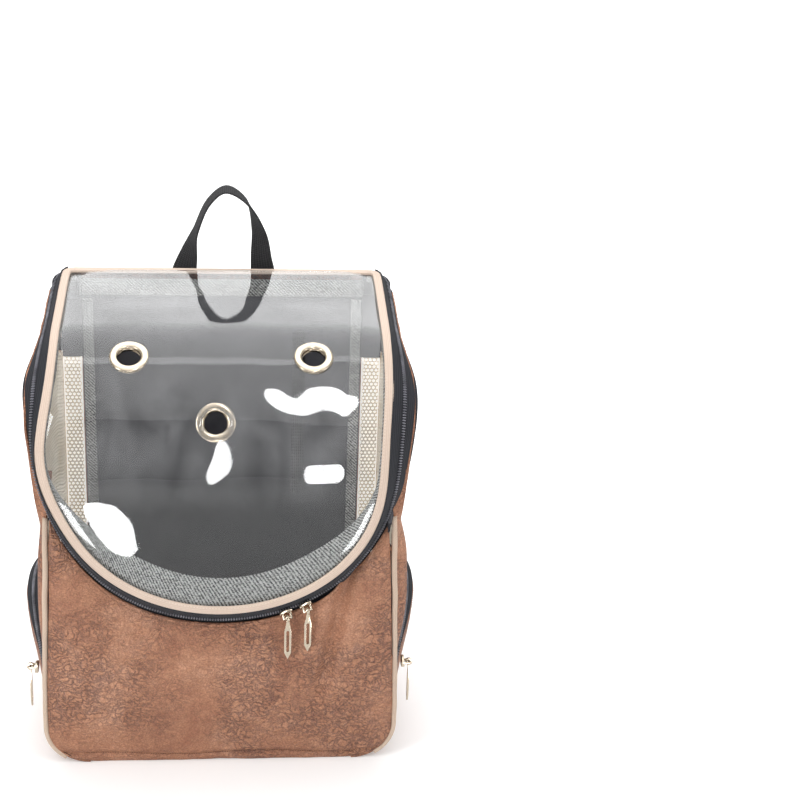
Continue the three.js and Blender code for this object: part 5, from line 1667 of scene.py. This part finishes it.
# %% Sliders, pulls, locks and buckles
def rounded_copy(node, name, width, finish, segments=2):
    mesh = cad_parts[node].data.copy()
    mesh.name = name
    mesh.materials.clear()
    mesh.materials.append(finish)
    work = bmesh.new()
    work.from_mesh(mesh)
    bmesh.ops.remove_doubles(work, verts=work.verts, dist=1e-6)
    bmesh.ops.dissolve_limit(work, angle_limit=math.radians(2), verts=work.verts, edges=work.edges)
    work.to_mesh(mesh)
    work.free()
    for attribute in [a.name for a in mesh.attributes if a.name == "custom_normal"]:
        mesh.attributes.remove(mesh.attributes[attribute])
    piece = bpy.data.objects.new(name, mesh)
    bpy.context.collection.objects.link(piece)
    edge = piece.modifiers.new("edge", "BEVEL")
    edge.width, edge.segments = width * MM, segments
    edge.limit_method, edge.angle_limit = "ANGLE", math.radians(32)
    flatten(piece)
    piece.data.polygons.foreach_set("use_smooth", [True] * len(piece.data.polygons))
    piece.data.set_sharp_from_angle(angle=math.radians(40))
    return piece


PULLS = ["front_inner", "front_outer", "pocket_right", "pocket_left"]
for word in PULLS:
    settle(rounded_copy(f"slider_{word}", f"slider_{word}_cast", 0.45, nickel), "nickel", f"slider_{word}")
    settle(rounded_copy(f"pull_{word}", f"pull_{word}_cast", 0.4, nickel), "nickel", f"pull_{word}",
           body=f"zip_pull_{word}")
for node in ("ladder_lock_right", "ladder_lock_left", "buckle_female", "buckle_male"):
    settle(rounded_copy(node, node + "_moulded", 0.8, buckle_plastic, 3), "buckle_plastic", node)

# %% [markdown]
# The tabs that hold the webbing are triangles of leather, turned in and sewn along their edges.

# %% Leather tabs
def make_tab(word, side):
    columns = []
    for out in np.linspace(0, 1, 24)[:-1]:
        low, high = mix(TAB_LOW, TAB_TIP, out), mix(TAB_HIGH, TAB_TIP, out)
        columns.append([tab_place(side, out * TAB_REACH, TAB_THICK / 2 * (1 - 0.5 * abs(2 * k - 1) ** 4),
                                  mix(low, high, k)) for k in np.linspace(0.02, 0.98, 20)])
    points = crumple(np.array(columns), amount=0.4, size=12, seed=8, inside=(0, 0, 60))
    return shell(f"strap_tab_{word}_leather", points, TAB_THICK - 0.2, [brown_back], inside=(0, 0, 60))


for word, side in SIDES:
    settle(make_tab(word, side), "brown_leather", f"strap_tab_{word}")

# %% [markdown]
# ## Stitches
# Rows of stitches show on every seam that is sewn from outside. Each row is a line laid just above the cloth,
# and the bead tree sews along it. Webbing ends are held by a box with a cross in it.

# %% Lines to sew along
def sewn(name, lines, thread, slot, pitch=3.2):
    settle(beads_along(name, lines, thread, pitch, pitch * 0.72, 0.6, 0.5), slot)


def boxed(corner, along, across):
    """The stitched box with a cross in it that holds a webbing end down."""
    steps = ((0, 0), (1, 0), (1, 1), (0, 1))
    a, b, c, d = (np.asarray(corner, float) + along * u + across * v for u, v in steps)
    return [np.linspace(p, q, 12) for p, q in ((a, b), (b, c), (c, d), (d, a), (a, c), (b, d))]


def strap_lines(rows, start, end, half, lift):
    """Two rows of stitches along a strap between two of its places, and one across each end."""
    places, across, face = (part[start:end] for part in rows)
    face = face * np.sign(face[:, 1:2].mean())
    rails = [places + across * k + face * lift for k in (-half, half)]
    ends = [np.linspace(rails[0][n], rails[1][n], 10) for n in (0, -1)]
    crosses = [np.linspace(rails[0][0], rails[1][-1], 14), np.linspace(rails[1][0], rails[0][-1], 14)]
    return rails + ends + crosses


def pad_stitches(side):
    line, across, face = pad_border(side)
    foot = len(line) // 2
    inward = np.sign(np.sum(across[foot] * (pad_frame(side)(0.9, 0, 0) - line[foot])))
    return [line + across * inward * 3.3 + face * k for k in (4.75, -4.75)]


def tab_stitches(side):
    lines = []
    for z in (TAB_LOW + 5, TAB_HIGH - 5):
        tip = mix(TAB_TIP, z, 0.12)
        lines.append(np.array([tab_place(side, 2 + 27 * k, TAB_THICK / 2 + 0.25, mix(z, tip, k))
                               for k in np.linspace(0, 1, 14)]))
    return lines


print("sewing helpers ready")

# %% [markdown]
# The thread is dyed to match what it sews, a little darker on the leather. The seam along the foot of the
# front panel is darker still: that is painted shade, for the groove it lies in.

# %% Stitches
brown_thread = nylon("brown_thread", paint("#6e4835"), paint("#85593f"))
# painted shade: this thread is darkened for the groove that the seam at the front panel's foot lies in
thread_with_painted_groove_shade = nylon("thread_with_painted_groove_shade", paint("#3c261b"), paint("#553627"))
cream_thread = nylon("cream_thread", paint("#d9c4b4"), paint("#f0e2d6"))
black_thread = nylon("black_thread", paint("#2b2b2d"), paint("#4a4a4c"))
ON_LEATHER, ON_WEBBING = (brown_thread, "brown_leather"), (black_thread, "black_webbing")
rim = beside_edge(lid_edge(300), 1.4 - BINDING_WIDTH, -1.72)
sewn("window_binding_stitches", [rim], cream_thread, "cream_tape", pitch=2.8)
sewn("top_band_stitches", [skins["top_band"][:, k] + (0, 0.25, 0) for k in (1, 14)], *ON_LEATHER)
sewn("front_panel_stitches", [skins["front_panel"][6:-6, -3] + (0, -0.25, 0)], *ON_LEATHER)
foot = [(p[:, 0], p[:, 1], p[:, 2]) for p in skins["front_panel"] if abs(p[0, 0]) < 128]
seam = [(x[0], np.interp(hem_height(x[0]), z, y) - 0.1, hem_height(x[0])) for x, y, z in foot]
# the seam's darker thread is painted shade for its groove
sewn("base_seam_stitches", [np.array(seam)], thread_with_painted_groove_shade, "brown_leather", pitch=2.2)
for word, side in SIDES:
    above = (side * 0.3, 0, 0)
    sewn(f"pocket_{word}_stitches", [skins[f"pocket_{word}"][3:-3, -3] + above], *ON_LEATHER)
    sewn(f"side_upper_{word}_stitches", [skins[f"side_upper_{word}"][3:mesh_end, 24] + above], *ON_LEATHER)
    sewn(f"strap_binding_{word}_stitches", pad_stitches(side), *ON_WEBBING)
    patch = strap_lines(skins[f"strap_patch_{word}"], start=3, end=46, half=10, lift=1.0)
    sewn(f"strap_patch_{word}_stitches", patch, *ON_WEBBING, pitch=2.8)
    sewn(f"strap_tab_{word}_stitches", tab_stitches(side), *ON_LEATHER, pitch=2.8)
wide, high = np.array([22.0, 0, 0]), np.array([0, 0, 15.0])
feet = [boxed((x - 11, HANDLE_Y + 1.05, 387), wide, high) for x in (-41, 41)]
sewn("handle_stitches", feet[0] + feet[1], *ON_WEBBING, pitch=2.8)
